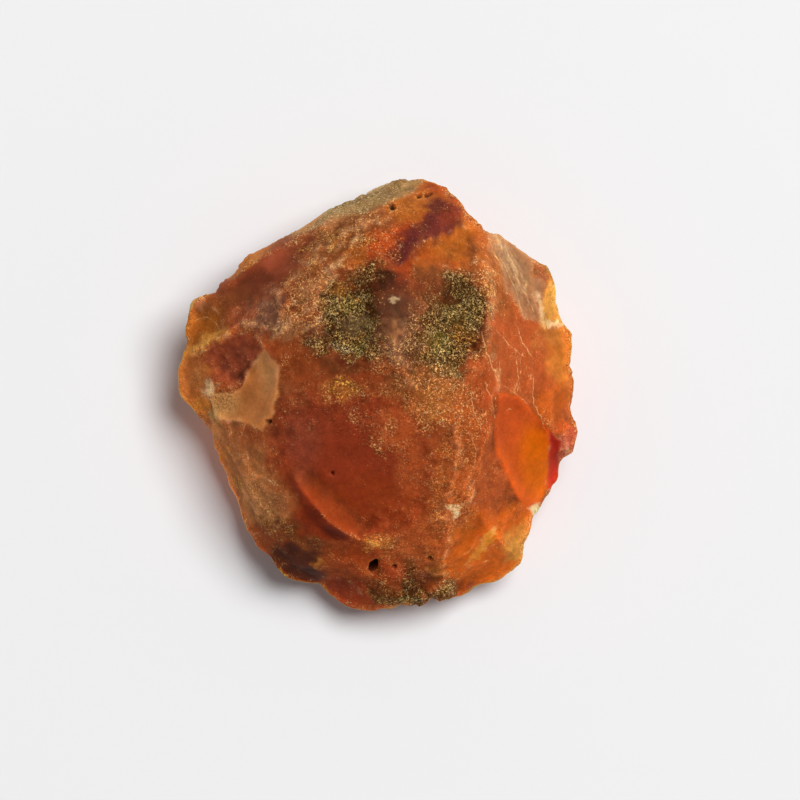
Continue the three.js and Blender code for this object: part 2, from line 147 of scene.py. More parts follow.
# Soft patches of colour, painted in this order: name, colour, centre, radii, turn, strength.
SOFT_PATCHES = [
    ("upper left band", "brown", (-8.8, 16.5), (12.7, 3), 33, 0.9),
    ("smooth red band", "dark rust", (-13.2, 14), (7.2, 2.1), 32, 0.9),
    ("dusty shoulder", "tan", (-3.6, 18.1), (8.1, 2.5), 35, 0.7),
    ("shoulder top", "rim tan", (-4.6, 19.8), (2.4, 1), 30, 0.45),
    ("shoulder right", "russet", (-1, 19.6), (1.4, 1.2), 0, 0.8),
    ("grey veil", "smoke", (-12.4, 9.4), (3, 2.5), 50, 0.8),
    ("left brown", "russet", (-17.2, 10.3), (3.5, 2.3), 30, 0.7),
    ("left red", "russet red", (-15.6, 9), (1.8, 1.4), 20, 0.7),
    ("corner amber", "amber brown", (-20.5, 7.6), (3, 2.8), 0, 0.9),
    ("left rim orange", "lit amber", (-21.6, 2.2), (2, 3.2), 0, 1),
    ("left rim amber", "lit amber", (-21, -0.7), (2.1, 2.1), 0, 0.9),
    ("red chip", "russet red", (-16, 3.7), (3.5, 2.3), 0, 0.9),
    ("amber flank", "flank brown", (-16, -5.3), (4.2, 4.4), 0, 0.95),
    ("below the flake", "brick", (-14, -4.6), (1.5, 1.4), 0, 0.5),
    ("amber flank foot", "flank tan", (-14.4, -11), (3.4, 4.2), 15, 0.75),
    ("flank orange", "lit amber", (-18.2, -8), (1.6, 2), 0, 0.6),
    ("low flank", "flank tan", (-12.6, -13), (2.6, 2.2), -30, 0.7),
    ("olive foot", "dark brown", (-11.4, -15.8), (2.2, 1.1), -35, 0.6),
    ("dark foot", "pit brown", (-8.4, -16.8), (2.8, 1.3), -35, 0.8),
    ("maroon foot", "maroon", (-8.6, -19.2), (3, 1.7), -32, 0.95),
    ("red foot", "deep red", (-3.8, -22.8), (3.9, 1.4), -18, 0.9),
    ("under the crescent", "dried blood", (-6.3, -15.2), (3.9, 1.6), -42, 0.9),
    ("brick low", "brick", (-1.4, -19.3), (4.2, 2.1), -12, 0.9),
    ("low middle", "warm rust", (4.4, -17), (4, 2.6), 0, 0.6),
    ("bowl", "deep red", (-2.6, -7.7), (8.4, 7.2), 0, 0.9),
    ("bowl plum", "plum brown", (-8.8, -3.5), (3.9, 5.1), 0, 0.7),
    ("bowl glow", "brick", (-3.1, -13.3), (3.5, 1.6), -40, 0.7),
    ("left of the bowl", "flank brown", (-9.4, -0.2), (1.8, 1.6), 0, 0.5),
    ("gold spot", "gold", (-0.1, -17.4), (1.7, 1), -25, 0.4),
    ("nose smoke", "smoke", (2.4, 6.7), (2.6, 4.6), 0, 0.85),
    ("nose low", "tan", (2.8, 1.8), (3.8, 2.6), -20, 0.6),
    ("below the right pit", "pit brown", (5.4, 3), (2.6, 2.8), 0, 0.7),
    ("gold cheek", "tan gold", (7.2, -0.4), (3.7, 2.8), -20, 0.8),
    ("red under the left pit", "brick", (-1, 2.5), (3.5, 1.4), 10, 0.7),
    ("gold below left pit", "gold", (-4.2, 0.7), (2.1, 1.5), 0, 0.35),
    ("crown orange", "amber brown", (4.4, 21.2), (3.6, 1.9), 22, 0.85),
    ("crown right", "amber orange", (9.7, 18.2), (3.9, 1.6), -55, 0.9),
    ("orange saddle", "amber orange", (6.6, 15.9), (3, 1.6), 0, 0.9),
    ("red crown", "brick", (1.9, 17.4), (4, 1.9), 38, 0.95),
    ("red bridge", "brick", (2.9, 13.9), (1.6, 2.1), 0, 0.8),
    ("brown bridge", "russet", (7.6, 14), (3.2, 1.5), 0, 0.9),
    ("left pit halo", "dark brown", (-2.2, 6.6), (5.6, 6), 0, 0.5),
    ("rim above the left pit", "rim tan", (-7, 12.2), (2.6, 1.2), 35, 0.6),
    ("dusty left", "rim tan", (-9.4, 7.4), (2, 1.4), 30, 0.6),
    ("right pit halo", "dark brown", (8.2, 8), (5.6, 7), 0, 0.55),
    ("between the pits", "dark brown", (1.9, 9.6), (2.4, 3.4), 0, 0.9),
    ("right strip", "pale orange", (13.1, 13.3), (5.6, 2), -72, 0.8),
    ("pale break", "break peach", (16.5, 13.7), (4.9, 2), -62, 0.9),
    ("cream streak", "cream", (14.7, 16), (3.5, 0.6), -60, 0.6),
    ("crust corner", "olive tan", (19.9, 14.6), (1, 1), 0, 0.8),
    ("yellow strip", "honey", (20.3, 10.9), (2.5, 0.9), -78, 0.9),
    ("right face", "warm rust", (16, 4), (6, 6.4), 0, 0.9),
    ("right face low", "brick", (11.7, -1.8), (3.5, 3.5), 0, 0.5),
    ("right rim glow", "glow", (21.5, 4.4), (4.2, 1.9), 86, 0.6),
    ("rim top", "gold", (20, 7), (1.8, 1.8), 0, 0.7),
    ("above the tip", "orange", (20.4, -1), (1.9, 2.6), 0, 0.85),
    ("lower right face", "warm rust", (13.2, -9.8), (2.8, 4.2), -30, 0.8),
    ("lower face", "gold", (10.1, -15.7), (1.6, 1.6), 0, 0.5),
    ("under the scar", "bright orange", (16.6, -14.4), (2.2, 2.2), 0, 0.7),
    ("lower right", "bright orange", (11.9, -17.4), (4.6, 3.5), 30, 0.9),
    ("lower right rim", "honey", (15.9, -18.5), (1.5, 3.4), -20, 0.8),
    ("bottom orange", "bright orange", (13.3, -20.7), (3.9, 1.4), 22, 0.9),
    ("bottom brick", "bright orange", (9.4, -20.6), (2.8, 1.8), 0, 0.75),
    ("crest gold", "crest orange", (8.6, -9.8), (9.2, 2.6), 75, 0.8),
]

# The faces left by chips that broke away: how far each sinks, over what distance in from its outline,
# its colour if it has its own, how strong that is, how wide the colour's edge is, and the outline.
FACETS = {
    "corner block": (0.8, 2, None, 0, 0, [
        (-22.3, 11.1), (-19.9, 11), (-17.8, 8.8), (-17.1, 7.1), (-19.8, 5.6), (-22.5, 4.8),
    ]),
    "red chip": (1, 1.6, "russet red", 0.5, 0.6, [
        (-22.5, 4.2), (-19.8, 5.1), (-17.5, 6), (-15.9, 6.9), (-13.6, 6.4), (-12.9, 5.3), (-13.6, 4.1),
        (-14.3, 2.8), (-15.3, 1.6), (-16.7, 0.7), (-18.7, 1.1), (-20.1, -0.1), (-21.7, -0.8),
        (-23, 0.5), (-23, 2.8),
    ]),
    "bevel": (0.5, 0.8, "amber", 0.85, 0.3, [
        (-17.5, 13.2), (-15.9, 15.6), (-13.4, 16.9), (-11.5, 17.8), (-10.8, 17.8), (-12.4, 16.4),
        (-14.4, 14.7), (-16.3, 13.9),
    ]),
    "smooth band": (1, 3, "dark rust", 0.5, 0.9, [
        (-18.7, 10.7), (-16.8, 13.7), (-14.4, 14.7), (-10.8, 17.5), (-7.5, 19.1), (-6.7, 17.6),
        (-8.8, 15.1), (-9.9, 11.9), (-12.4, 10.8), (-15.8, 11.3),
    ]),
    "shoulder": (0.7, 2, None, 0, 0, [
        (-10.8, 17.5), (-7.9, 18.6), (-5.4, 19.7), (-1.9, 20.8), (2.1, 22.2), (0.1, 20.3), (-3.1, 18.7),
        (-4.2, 16.9), (-6.5, 15), (-8.8, 15.1),
    ]),
    "orange patch": (0.6, 1, "amber orange", 0.6, 0.4, [
        (-3.8, 16.2), (-2.8, 17), (-1.3, 16.4), (-1, 15), (-1.7, 14.3), (-3.6, 14.1), (-4.2, 15),
    ]),
    "crown crust": (0.7, 0.9, "olive tan", 0.85, 0.4, [
        (-11.1, 17.7), (-8.6, 19.8), (-5.5, 21.4), (-2.9, 22.7), (0.3, 24.4), (2.6, 25.2), (5.5, 24.6),
        (4.4, 23.5), (2.1, 22.2), (-1.9, 20.8), (-5.4, 19.7), (-7.9, 18.6),
    ]),
    "saddle": (0.8, 2, "amber orange", 0.5, 0.9, [
        (4.3, 17.2), (7.2, 17.8), (9.5, 19.4), (11.6, 18.3), (11.3, 15.3), (9.7, 14.4), (7.2, 14.7),
        (4.9, 15), (4, 15.8),
    ]),
    "pale break": (0.8, 1.5, "break peach", 0.7, 0.3, [
        (12.4, 18.9), (15.4, 18), (18.3, 15.9), (17.9, 13.8), (17.4, 11.8), (18.8, 9.7), (18.7, 8.3),
        (17, 8.7), (15.8, 10.8), (15.2, 13.1), (14.1, 15.2), (12.6, 16.7),
    ]),
    "yellow strip": (0.5, 0.8, "honey", 0.8, 0.25, [
        (20.3, 12.8), (21, 12.1), (21.4, 10), (21.7, 8.4), (19.3, 7.6), (18.7, 8.3), (18.9, 10.3),
        (19.5, 12),
    ]),
    "right face": (0.8, 4, None, 0, 0, [
        (12.9, 5.6), (14, 7.3), (16.4, 7.4), (18.7, 7.7), (22.1, 8.2), (22.8, 5.7), (22.5, 2.6),
        (22.8, -0.4), (19.7, -3), (18.1, -1.2), (15.8, -0.1), (13.5, -0.7), (12.6, 2.2),
    ]),
    "scar": (0.3, 3, "scar orange", 0.95, 0.22, [
        (13.9, 0.2), (16.5, -0.3), (18.8, -3), (19.8, -4.3), (19.9, -7.6), (19.8, -10.6), (18.8, -12.6),
        (17.9, -13.7), (16.5, -12.3), (14.9, -9), (13.8, -6.9), (13.4, -3.2),
    ]),
    "red band": (0.5, 0.5, "blood", 1, 0.12, [
        (19.9, -4.3), (21.1, -5.3), (21.1, -7), (21, -9.9), (20, -11.2), (19.5, -10.8), (19.8, -7.6),
    ]),
    "tip": (0.4, 0.5, "tip red", 0.9, 0.2, [
        (21.1, -5), (22.3, -3.6), (23.3, -4.4), (22.8, -6), (21.9, -7.9), (21.3, -8.8), (21.1, -7),
    ]),
    "scar chip": (0, 1, "cream", 0.9, 0.12, [
        (18.1, -12.8), (18.8, -12.6), (18.6, -13.4), (18.2, -14.1), (17.5, -13.2),
    ]),
    "lower face": (0.7, 2.5, None, 0, 0, [
        (11.8, -9.8), (14.1, -8.7), (15.9, -11.3), (17.7, -13.4), (18.2, -14.3), (17.1, -16),
        (14.2, -14.5), (11.3, -15), (10.1, -12.7),
    ]),
    "white patch": (0.1, 0.4, "cream", 0.9, 0.2, [
        (8.2, -12.9), (8.9, -12.7), (9.8, -12.8), (9.5, -13.5), (8.7, -14.2), (8.4, -13.9),
    ]),
    "yellow chip": (0.3, 0.4, "chip yellow", 1, 0.12, [
        (10.3, -20.1), (10.9, -18.9), (11.8, -17), (12.7, -15.8), (13.7, -15.3), (13.8, -16.2),
        (12.6, -17.6), (11.5, -18.9),
    ]),
    "low right": (0.8, 2, None, 0, 0, [
        (10.3, -20.4), (11.3, -19.4), (12.7, -17.8), (14.2, -16.8), (16.8, -17.5), (16.9, -19.2),
        (15.6, -20.8), (11.9, -22.7), (10.5, -23.3), (9, -23.5), (8.4, -22.8),
    ]),
    "bowl": (0.5, 3, "deep red", 0.5, 0.6, [
        (-10.7, -0.1), (-11.5, -2.7), (-12.5, -5.2), (-12.7, -7.8), (-10.8, -8.7), (-9, -10.4),
        (-7.4, -12.1), (-6, -14.2), (-3.7, -15.8), (-2, -16.5), (0.9, -16.7), (3.8, -15.6),
        (5.8, -12.7), (6.3, -8.6), (5.5, -4.6), (3.2, -1.6), (-0.8, -0.2), (-4.2, -0.7), (-7.6, 0.7),
    ]),
    "under the crescent": (0.6, 2.5, "dried blood", 0.6, 0.25, [
        (-10.5, -8.7), (-9, -10.4), (-7.4, -12.1), (-6, -14.2), (-3.7, -15.8), (-2.9, -16.7),
        (-4.8, -17.3), (-8, -15.6), (-9.6, -13.4), (-10.9, -10.8),
    ]),
    "flake": (0.5, 1, "lit peach", 0.95, 0.12, [
        (-12.9, 5.3), (-12.2, 4.1), (-11.3, 3.2), (-11.2, 1.6), (-11.4, -0.2), (-11.9, -1.2),
        (-11.9, -2.7), (-12.7, -2.9), (-13.2, -4.3), (-14.6, -3.5), (-15.8, -3), (-17.4, -3),
        (-18.9, -2.4), (-19.3, -0.9), (-20.1, -0.2), (-18.7, 0.2), (-16.7, 0), (-15.6, 1.1),
        (-14.5, 2.6), (-13.7, 4.1),
    ]),
    "flank": (0.8, 1.5, None, 0, 0, [
        (-19.5, -3.9), (-17.9, -3.2), (-16, -3), (-13.2, -4.6), (-13, -7.5), (-13.2, -9.3),
        (-15.5, -9.3), (-17.2, -10), (-18.7, -7.9),
    ]),
    "low flank": (0.8, 1.5, None, 0, 0, [
        (-17.1, -9.7), (-15.5, -9.3), (-13.2, -9.3), (-10.6, -11), (-10, -13.3), (-12.4, -16.3),
        (-14.8, -16.2), (-16.6, -13.7), (-17, -11.7),
    ]),
    "maroon foot": (0.6, 2.5, "maroon", 0.85, 0.4, [
        (-12.4, -18), (-10.1, -17.2), (-7.2, -19.4), (-6.1, -21), (-7.8, -23.2), (-10.8, -22.6),
        (-13.2, -20.4),
    ]),
    "red foot": (0.6, 1.5, None, 0, 0, [
        (-6.1, -21), (-3.8, -21.5), (-1.4, -23.3), (0, -24.7), (-3.8, -24.6), (-6.9, -23), (-8.6, -22),
    ]),
}

# A facet that sinks over this distance or more has no sharp edge.
SOFT_REACH = 2.5
# One that sinks over less than this has ragged edges.
RAGGED_REACH = 0.5

# Soft patches of colour that show only inside a facet: facet, colour, centre, radii, turn, strength.
FACET_PATCHES = [
    ("bowl", "crescent orange", (-5.6, -12.8), (6, 2.4), -42, 0.8),
    ("bowl", "plum brown", (-8.9, -9.6), (1.6, 1.5), 0, 0.6),
    ("bowl", "brick", (2.5, -13), (4, 3), 0, 0.5),
    ("bowl", "brick", (-0.5, -11), (4.5, 2.6), 0, 0.4),
    ("bowl", "warm rust", (2.2, -4), (2.9, 2.4), -30, 0.8),
    ("bowl", "warm rust", (3.8, -8.4), (1.9, 3.6), 0, 0.75),
    ("bowl", "crescent red", (-8.6, -5.4), (2.2, 3.4), 10, 0.4),
    ("saddle", "brick", (5, 15.6), (1.6, 1.6), 0, 0.6),
    ("smooth band", "russet red", (-11, 15), (1.8, 1.5), 0, 0.5),
    ("orange patch", "rust", (-3.5, 14.8), (1.3, 1.1), 0, 0.6),
    ("scar", "hot ember", (14.4, -2.6), (3.6, 4.2), -30, 0.9),
    ("scar", "glow orange", (18.4, -8), (2, 4.8), 8, 0.9),
    ("scar", "hot ember", (18.6, -2.6), (1.4, 1.4), 0, 0.5),
    ("red band", "maroon", (21.1, -7.4), (0.5, 2.2), 3, 0.5),
    ("tip", "cream", (22.3, -7.2), (0.3, 2), 18, 0.3),
    ("yellow chip", "orange", (10.9, -18.9), (1, 1.3), -35, 0.4),
    ("yellow chip", "cream", (13.4, -15.7), (0.5, 0.5), 0, 0.15),
    ("under the crescent", "dark blood", (-5.6, -15.2), (3.8, 1), -42, 0.75),
    ("flake", "flake peach", (-12.4, 3.1), (1.5, 3.4), 5, 0.7),
    ("flake", "flake shade", (-14.6, 1.2), (1.1, 2.8), -12, 0.65),
    ("flake", "rough gold", (-17.8, -1), (2, 1.8), 0, 1),
]

# The dark vein across the crown.
VEIN = [
    (7.9, 22.8), (8.9, 22), (9.3, 20.6), (9.2, 19), (8.3, 17.9), (7.2, 17.4), (5.8, 17.6), (4.3, 17),
    (3.2, 15.7), (2.4, 15), (1.7, 15.7), (2.9, 17.5), (4, 18.5), (4.7, 19.7), (5.8, 20.6), (5.5, 21.7),
    (6.3, 22.5),
]

# Patches over the facets: name, colour, centre, radii, turn, strength.
LATE_PATCHES = [
    ("flake chip", "cream", (-19.5, 0.6), (0.7, 0.9), 15, 0.9),
    ("flake ledge", "chip cream", (-18.8, -2.6), (0.6, 1), 8, 0.7),
    ("below the flake ledge", "lit peach", (-18.6, -4), (1, 1.4), 0, 0.8),
    ("middle of the flank", "flank brown", (-16.2, -8.9), (2.6, 2.2), 15, 0.6),
    ("corner honey", "honey", (-19.8, 6.1), (2.9, 0.55), 28, 0.85),
    ("smoky flank", "flank brown", (-10.8, -12.1), (2, 1.5), -40, 0.7),
    ("left rim", "flank tan", (-20.9, 2), (0.9, 1.4), 0, 0.4),
    ("top of the corner", "break peach", (-20.6, 10.3), (1.2, 0.6), -10, 0.5),
    ("above the left pit", "tan", (-2.9, 13.4), (1.2, 0.7), 20, 0.5),
    ("tip top", "ember", (21.3, -3.9), (1, 0.8), 0, 0.7),
    ("crown light", "crown cream", (0.4, 24.1), (1.4, 0.5), 35, 0.7),
    ("crown light two", "crown cream", (-2.6, 22.7), (1.2, 0.4), 30, 0.6),
    ("crown light three", "crown cream", (-5.6, 20.9), (1.2, 0.4), 35, 0.6),
    ("crown line", "cream", (-0.8, 23.5), (1.8, 0.22), 32, 0.5),
    ("crown green", "olive", (-3.9, 21.6), (1.6, 0.5), 25, 0.7),
    ("crown pink", "flank tan", (-7.6, 19.6), (2.2, 0.7), 35, 0.7),
    ("pit corner", "maroon", (1.2, 13), (2, 1.3), -20, 0.95),
    ("below the left pit", "pit brown", (-3.7, 3.3), (3, 1), -8, 0.95),
    ("nose middle", "rim tan", (2, 6.8), (1.2, 1.8), 0, 0.5),
    # Painted shadow: a thin dark line along the flake's upper left edge.
    ("flake crack", "dark brown", (-14.8, 3), (2.3, 0.22), 52, 0.7),
    ("vein tail", "plum", (3.2, 16.6), (2.6, 1.3), 45, 0.8),
    ("rim low", "tan", (12.9, 5.2), (1, 2.2), -12, 0.6),
    ("gold by the foot", "gold", (-6.8, -19.4), (0.7, 0.5), 0, 0.8),
    ("cream ledge", "cream", (20.6, 8.1), (1.3, 0.35), 0, 0.8),
    ("silver streak", "cream", (18.8, 10), (0.35, 2), 15, 0.7),
    ("dusky spot", "plum brown", (10.9, 16.5), (0.8, 1.7), 0, 0.55),
    ("chip between the pits", "cream", (2, 10.9), (0.75, 0.18), 8, 0.85),
    ("crown dark", "olive brown", (2.4, 24.4), (1, 0.6), 0, 0.7),
    ("crown dark two", "olive brown", (-1.6, 22.3), (1.8, 0.4), 30, 0.6),
    ("left pit gold", "gold", (-4.2, 11.9), (1.3, 0.9), 30, 0.4),
    ("left pit moss", "moss", (-3.4, 10.2), (1.6, 0.8), 20, 0.45),
    ("left pit floor", "grey olive", (-2.1, 7.9), (1.9, 1.3), 10, 0.7),
    ("left pit low moss", "moss", (-2, 5.4), (1, 0.9), 0, 0.4),
    ("right pit moss", "moss", (7.2, 6.1), (1.3, 1.1), 0, 0.5),
    ("right pit olive", "olive", (9.5, 8.8), (2.2, 2), 0, 0.4),
    ("right pit brown", "pit brown", (7, 11.2), (1.7, 1.8), 0, 0.5),
    ("left pit black", "crust", (0.7, 13.3), (1.1, 1), -20, 0.7),
    ("left pit side", "dark brown", (-6.9, 7.3), (1.4, 1.8), -35, 0.6),
    ("under the left pit", "dark blood", (-3.4, 3.6), (1.8, 0.7), -8, 0.75),
    ("between the pits", "crust", (2, 9.8), (1.2, 1.8), 0, 0.3),
    ("gold spot heart", "gold fleck", (-0.3, -17.3), (0.7, 0.4), -20, 0.6),
    ("above the foot", "gold", (6.9, -20.4), (1.2, 0.8), 0, 0.6),
    ("foot line", "crust", (5.4, -23), (3.8, 0.45), 6, 0.95),
    ("below the foot line", "rim tan", (3.4, -24.2), (2.4, 0.6), 8, 0.6),
    ("foot red", "plum", (5.4, -21), (0.8, 0.6), 0, 0.6),
    ("right pit shelf", "olive tan", (8.9, 2.4), (0.8, 0.4), 0, 0.6),
    ("right pit low side", "dark brown", (12.3, 7.2), (0.8, 1.2), 0, 0.6),
    ("left of the right pit", "olive brown", (5.1, 5.2), (1, 1.4), 0, 0.5),
    ("under the right pit", "olive brown", (7.6, 2.9), (1.8, 0.8), 0, 0.5),
    ("vein heart", "deep red", (8.2, 20.4), (1.2, 1.4), 0, 0.4),
    ("red by the dots", "deep red", (1.9, -20.5), (1.6, 1), 0, 0.6),
    ("below the saddle", "brick", (8.2, 14.9), (1.8, 0.8), 0, 0.4),
]

# The colours of the underside, each where its noise rises from low to high: name, low, high, strength.
UNDERSIDE = [("amber", -0.1, 0.6, 1), ("deep red", 0, 0.6, 1), ("smoke", 0.2, 0.7, 0.7)]

# The olive crusts, which are rough as well as dark.
CRUSTS = {
    "left pit": [
        (-4.8, 11.8), (-3.2, 12.3), (-1.7, 13.2), (-0.2, 14.3), (0.8, 13.9), (0.4, 12.4), (0.1, 10.7),
        (0.4, 8.6), (0.1, 6.1), (-0.5, 4.8), (-1.7, 4.1), (-3.1, 3.7), (-4.2, 3.9), (-5.1, 4.8),
        (-6.2, 5.3), (-7.4, 6.2), (-6.7, 7.5), (-6, 8.4), (-6.2, 9.8), (-5.8, 11.2),
    ],
    "right pit": [
        (7.8, 12.7), (8.9, 13.5), (10.4, 13.2), (11.4, 12.4), (11.8, 10.9), (12.1, 9.4), (12, 7.5),
        (11.4, 6), (10.9, 4.6), (10.1, 3.7), (9.5, 2.7), (8.3, 2.5), (6.7, 2.5), (5.5, 3.6),
        (4.7, 4.8), (5.3, 6.1), (5.4, 8.2), (5.8, 10.1), (6.9, 11.3),
    ],
    "foot crust": [
        (-0.9, -22.5), (-0.2, -22), (1.5, -22.5), (2.9, -21.3), (3.2, -20.3), (4, -20.1), (4.7, -20.9),
        (5.5, -22.5), (6.8, -22.2), (7.6, -21.8), (8.6, -21.7), (9.4, -22.4), (8.4, -23.5), (6.8, -23.2),
        (5, -22.9), (3.2, -23.6), (2.2, -24.4), (0.9, -24.2), (-0.6, -23.4),
    ],
}
CRUST_EDGE = 1.1

# Small dark holes: name, centre, radii, turn.
HOLES = [
    ("black pit", (-0.4, -19.9), (0.36, 0.66), -25),
    ("low dot", (6.1, -19), (0.3, 0.2), 0),
    ("small dot", (2.1, -19.8), (0.24, 0.2), 0),
    ("tiny dot", (-5, -9.1), (0.18, 0.18), 0),
    ("crown dot", (5, 22.9), (0.3, 0.24), 30),
    ("crown dot two", (5.9, 23), (0.42, 0.26), 15),
    ("crown dot three", (1.8, 21.5), (0.34, 0.34), 0),
    ("flake shadow", (-12.5, -3.2), (0.42, 0.22), 20),
]

# How thick the golden dust lies: name, centre, radii, turn, amount.
DUST_EVERYWHERE = 0.42
DUST_PATCHES = [
    ("upper left", (-6, 15.5), (12, 4.5), 35, 0.5),
    ("dusty shoulder", (-5.4, 16.9), (7, 2.3), 35, 0.58),
    ("left of the left pit", (-7.6, 10.5), (4.6, 3.3), 35, 0.92),
    ("beside the veil", (-11.2, 11.4), (1.7, 1.5), 0, 0.45),
    ("nose", (2.6, 5.6), (4.5, 6), 0, 0.75),
    ("between the pits", (1.9, 10), (2.2, 3.4), 0, 0.18),
    ("gold cheek", (8, -1.2), (4.2, 3.6), -20, 0.95),
    ("crest", (8.6, -10), (10, 2.6), 75, 0.7),
    ("low middle", (1.5, -18.5), (8, 4), 0, 0.5),
    ("crown crust", (-3, 21.8), (8, 1.4), 30, 0.8),
    ("shoulder right", (-1, 19.6), (1.4, 1.2), 0, 0.4),
    ("below the left pit", (-4, 3.3), (3, 1), 0, 0.25),
    ("right ridge", (11.7, 10.7), (5.8, 2.2), -78, 0.8),
    ("lower face", (10.2, -15.6), (1.8, 2), 0, 0.7),
    ("right of the right pit", (11.8, 5), (0.9, 1.4), 0, 0.9),
    ("bowl", (-4.2, -9), (6, 5.6), 0, 0.22),
    ("top of the bowl", (0.6, -3.6), (4.2, 2.4), -25, 0.55),
    ("right of the bowl", (3.4, -7.5), (1.6, 4.4), 10, 0.5),
    ("smooth band", (-13.7, 13.7), (5.8, 1.8), 32, 0.2),
    ("right face", (15.6, 5), (4.6, 5), 0, 0.38),
    ("pale break", (16.9, 13), (4.6, 1.7), -62, 0.12),
    ("red crown", (1.9, 17.4), (4, 1.9), 38, 0.55),
    ("right rim", (21, 3.5), (2, 6), 0, 0.1),
    ("lower right", (13.4, -17.8), (4.6, 4.6), 0, 0.3),
    ("red chip", (-16, 3.7), (3.5, 2.3), 0, 0.38),
    ("saddle", (7, 15.5), (3, 2), 0, 0.35),
    ("crown right", (10, 18.5), (2.5, 4), 30, 0.4),
    ("gold below left pit", (-4.2, 0.7), (1.9, 1.5), 0, 1.2),
    ("gold spot", (-0.1, -17.4), (1.6, 1.2), -25, 1.2),
    ("gold on the shoulder", (-8.1, 16.8), (0.9, 0.5), 30, 1),
    ("gold on the shoulder two", (-5.2, 17.2), (0.8, 0.5), 0, 1),
    ("gold by the red crown", (-0.8, 17.4), (1.1, 0.8), 20, 1.1),
    ("gold in the bowl", (0.1, -5.3), (0.6, 0.9), 20, 0.9),
    ("under the crescent", (-7.5, -14.5), (4.5, 1.6), -42, 0.3),
    ("rough flake", (-18, -0.9), (2.2, 2), 0, 0.7),
    ("gold on the flank", (-16.2, -10.6), (0.6, 1.8), 15, 0.9),
    ("crescent", (-6, -13.4), (6, 1.6), -42, 0.1),
    ("low flank", (-12.6, -12), (2.6, 1.6), -20, 0.6),
    ("olive foot", (-11.6, -15.6), (2.6, 1.6), -35, 0.8),
    ("maroon foot", (-8.6, -19.2), (3.2, 1.7), -32, 0.2),
]
# The same, within the crusts.
PIT_DUST = [
    ("left pit floor", (-2.7, 7.6), (1.5, 1), 10, 0.45),
    ("left pit dark side", (0, 10.5), (0.9, 3.6), 0, 0.5),
    ("left pit left side", (-6.2, 7), (2, 2), 30, 0.6),
    ("right pit top", (8.6, 12), (3, 1.6), 0, 0.55),
    ("right pit middle", (9.6, 6), (2.4, 1.8), 0, 0.9),
    ("foot gold", (7.4, -21.2), (1.4, 1), 0, 0.95),
    ("right pit left", (5.7, 8), (1.2, 2.2), 0, 0.7),
    ("right pit heart", (7.5, 10.7), (1.8, 1.5), 0, 0.48),
    ("left pit corner", (0.8, 13.3), (1, 1.1), 0, 0.15),
    ("left pit low side", (-3.4, 4.9), (1.4, 0.8), 0, 0.95),
    ("right pit right side", (11.9, 10), (0.8, 1.6), 0, 0.95),
    ("foot crust", (3, -22.4), (4.4, 1.6), 0, 0.62),
    ("right pit dark spot", (11.2, 5.6), (0.7, 0.6), 0, 0.2),
]
# Facets that broke after the dust settled: they are clean and smooth.
CLEAN_FACETS = ["flake", "scar", "red band", "yellow chip"]
# Apart from these parts of them: name, centre, radii, turn, amount.
ROUGH_EDGES = [
    ("left of the flake", (-18, -0.9), (2.2, 2), 0, 1),
    ("left edge of the scar", (13.3, -2.6), (0.7, 3.4), 0, 1),
]

# Where the grains of dust change colour: name, colour, centre, radii, turn, strength.
GRAIN_PATCHES = [
    ("left pit gold", "gold fleck", (-3.7, 11.9), (1.2, 0.9), 0, 0.8),
    ("left pit orange", "ochre grain", (-1.6, 6), (0.5, 0.4), 0, 1),
    ("left pit orange two", "ochre grain", (-2.5, 4.4), (0.5, 0.4), 0, 1),
    ("left pit white", "pale grain", (-3.6, 4.8), (1.3, 0.6), 0, 0.8),
    ("right pit orange", "ochre grain", (9.9, 6.6), (1.6, 1.3), 0, 0.8),
    ("rough flake", "flake peach", (-18, -0.9), (2.6, 2.4), 0, 1),
    ("right pit orange two", "ochre grain", (10.2, 4.7), (0.7, 0.4), 0, 1),
    ("gold below left pit", "gold fleck", (-4.2, 0.7), (2.2, 1.8), 0, 1),
    ("gold spot", "gold fleck", (-0.1, -17.4), (2, 1.5), -25, 1),
    ("gold on the shoulder", "gold fleck", (-8.1, 16.8), (1, 0.6), 30, 1),
    ("gold on the shoulder two", "gold fleck", (-5.2, 17.2), (1, 0.6), 0, 1),
    ("gold by the red crown", "gold fleck", (-0.8, 17.4), (1.2, 0.9), 20, 1),
    ("gold in the bowl", "gold fleck", (0.1, -5.3), (0.9, 1.2), 20, 0.5),
    ("gold on the flank", "gold fleck", (-16, -9.8), (1.6, 2.6), 15, 1),
    ("olive foot", "ochre grain", (-11.6, -15.6), (2.6, 1.6), -35, 0.7),
    ("crown crust", "pale grain", (-3, 21.8), (9, 1.6), 30, 0.5),
    ("foot gold", "pale grain", (7.4, -21.2), (1.4, 1), 0, 0.6),
    ("red crown", "ember grain", (1.9, 17.4), (4, 2.4), 38, 0.7),
    ("crest", "ember grain", (7, -10), (10, 6), 75, 0.7),
    ("low middle", "ember grain", (2, -18.5), (8, 4), 0, 0.7),
    ("nose low", "ember grain", (3, 0), (4, 3.4), 0, 0.6),
]

# Where fine pale scratches run: name, centre, radii, turn, amount.
SCRATCHED = [
    ("right strip", (13.6, 13), (5, 2), -68, 0.6),
    ("right face", (15.2, 3), (4.6, 6), -10, 0.45),
    ("pale break", (16.5, 13.7), (4.6, 1.6), -62, 0.5),
    ("low right", (14.5, -18.5), (3, 3), 0, 0.4),
    ("crest", (8.4, -12), (8, 1.6), 80, 0.4),
    ("amber flank", (-15.6, -8), (3.6, 6), 15, 0.25),
]

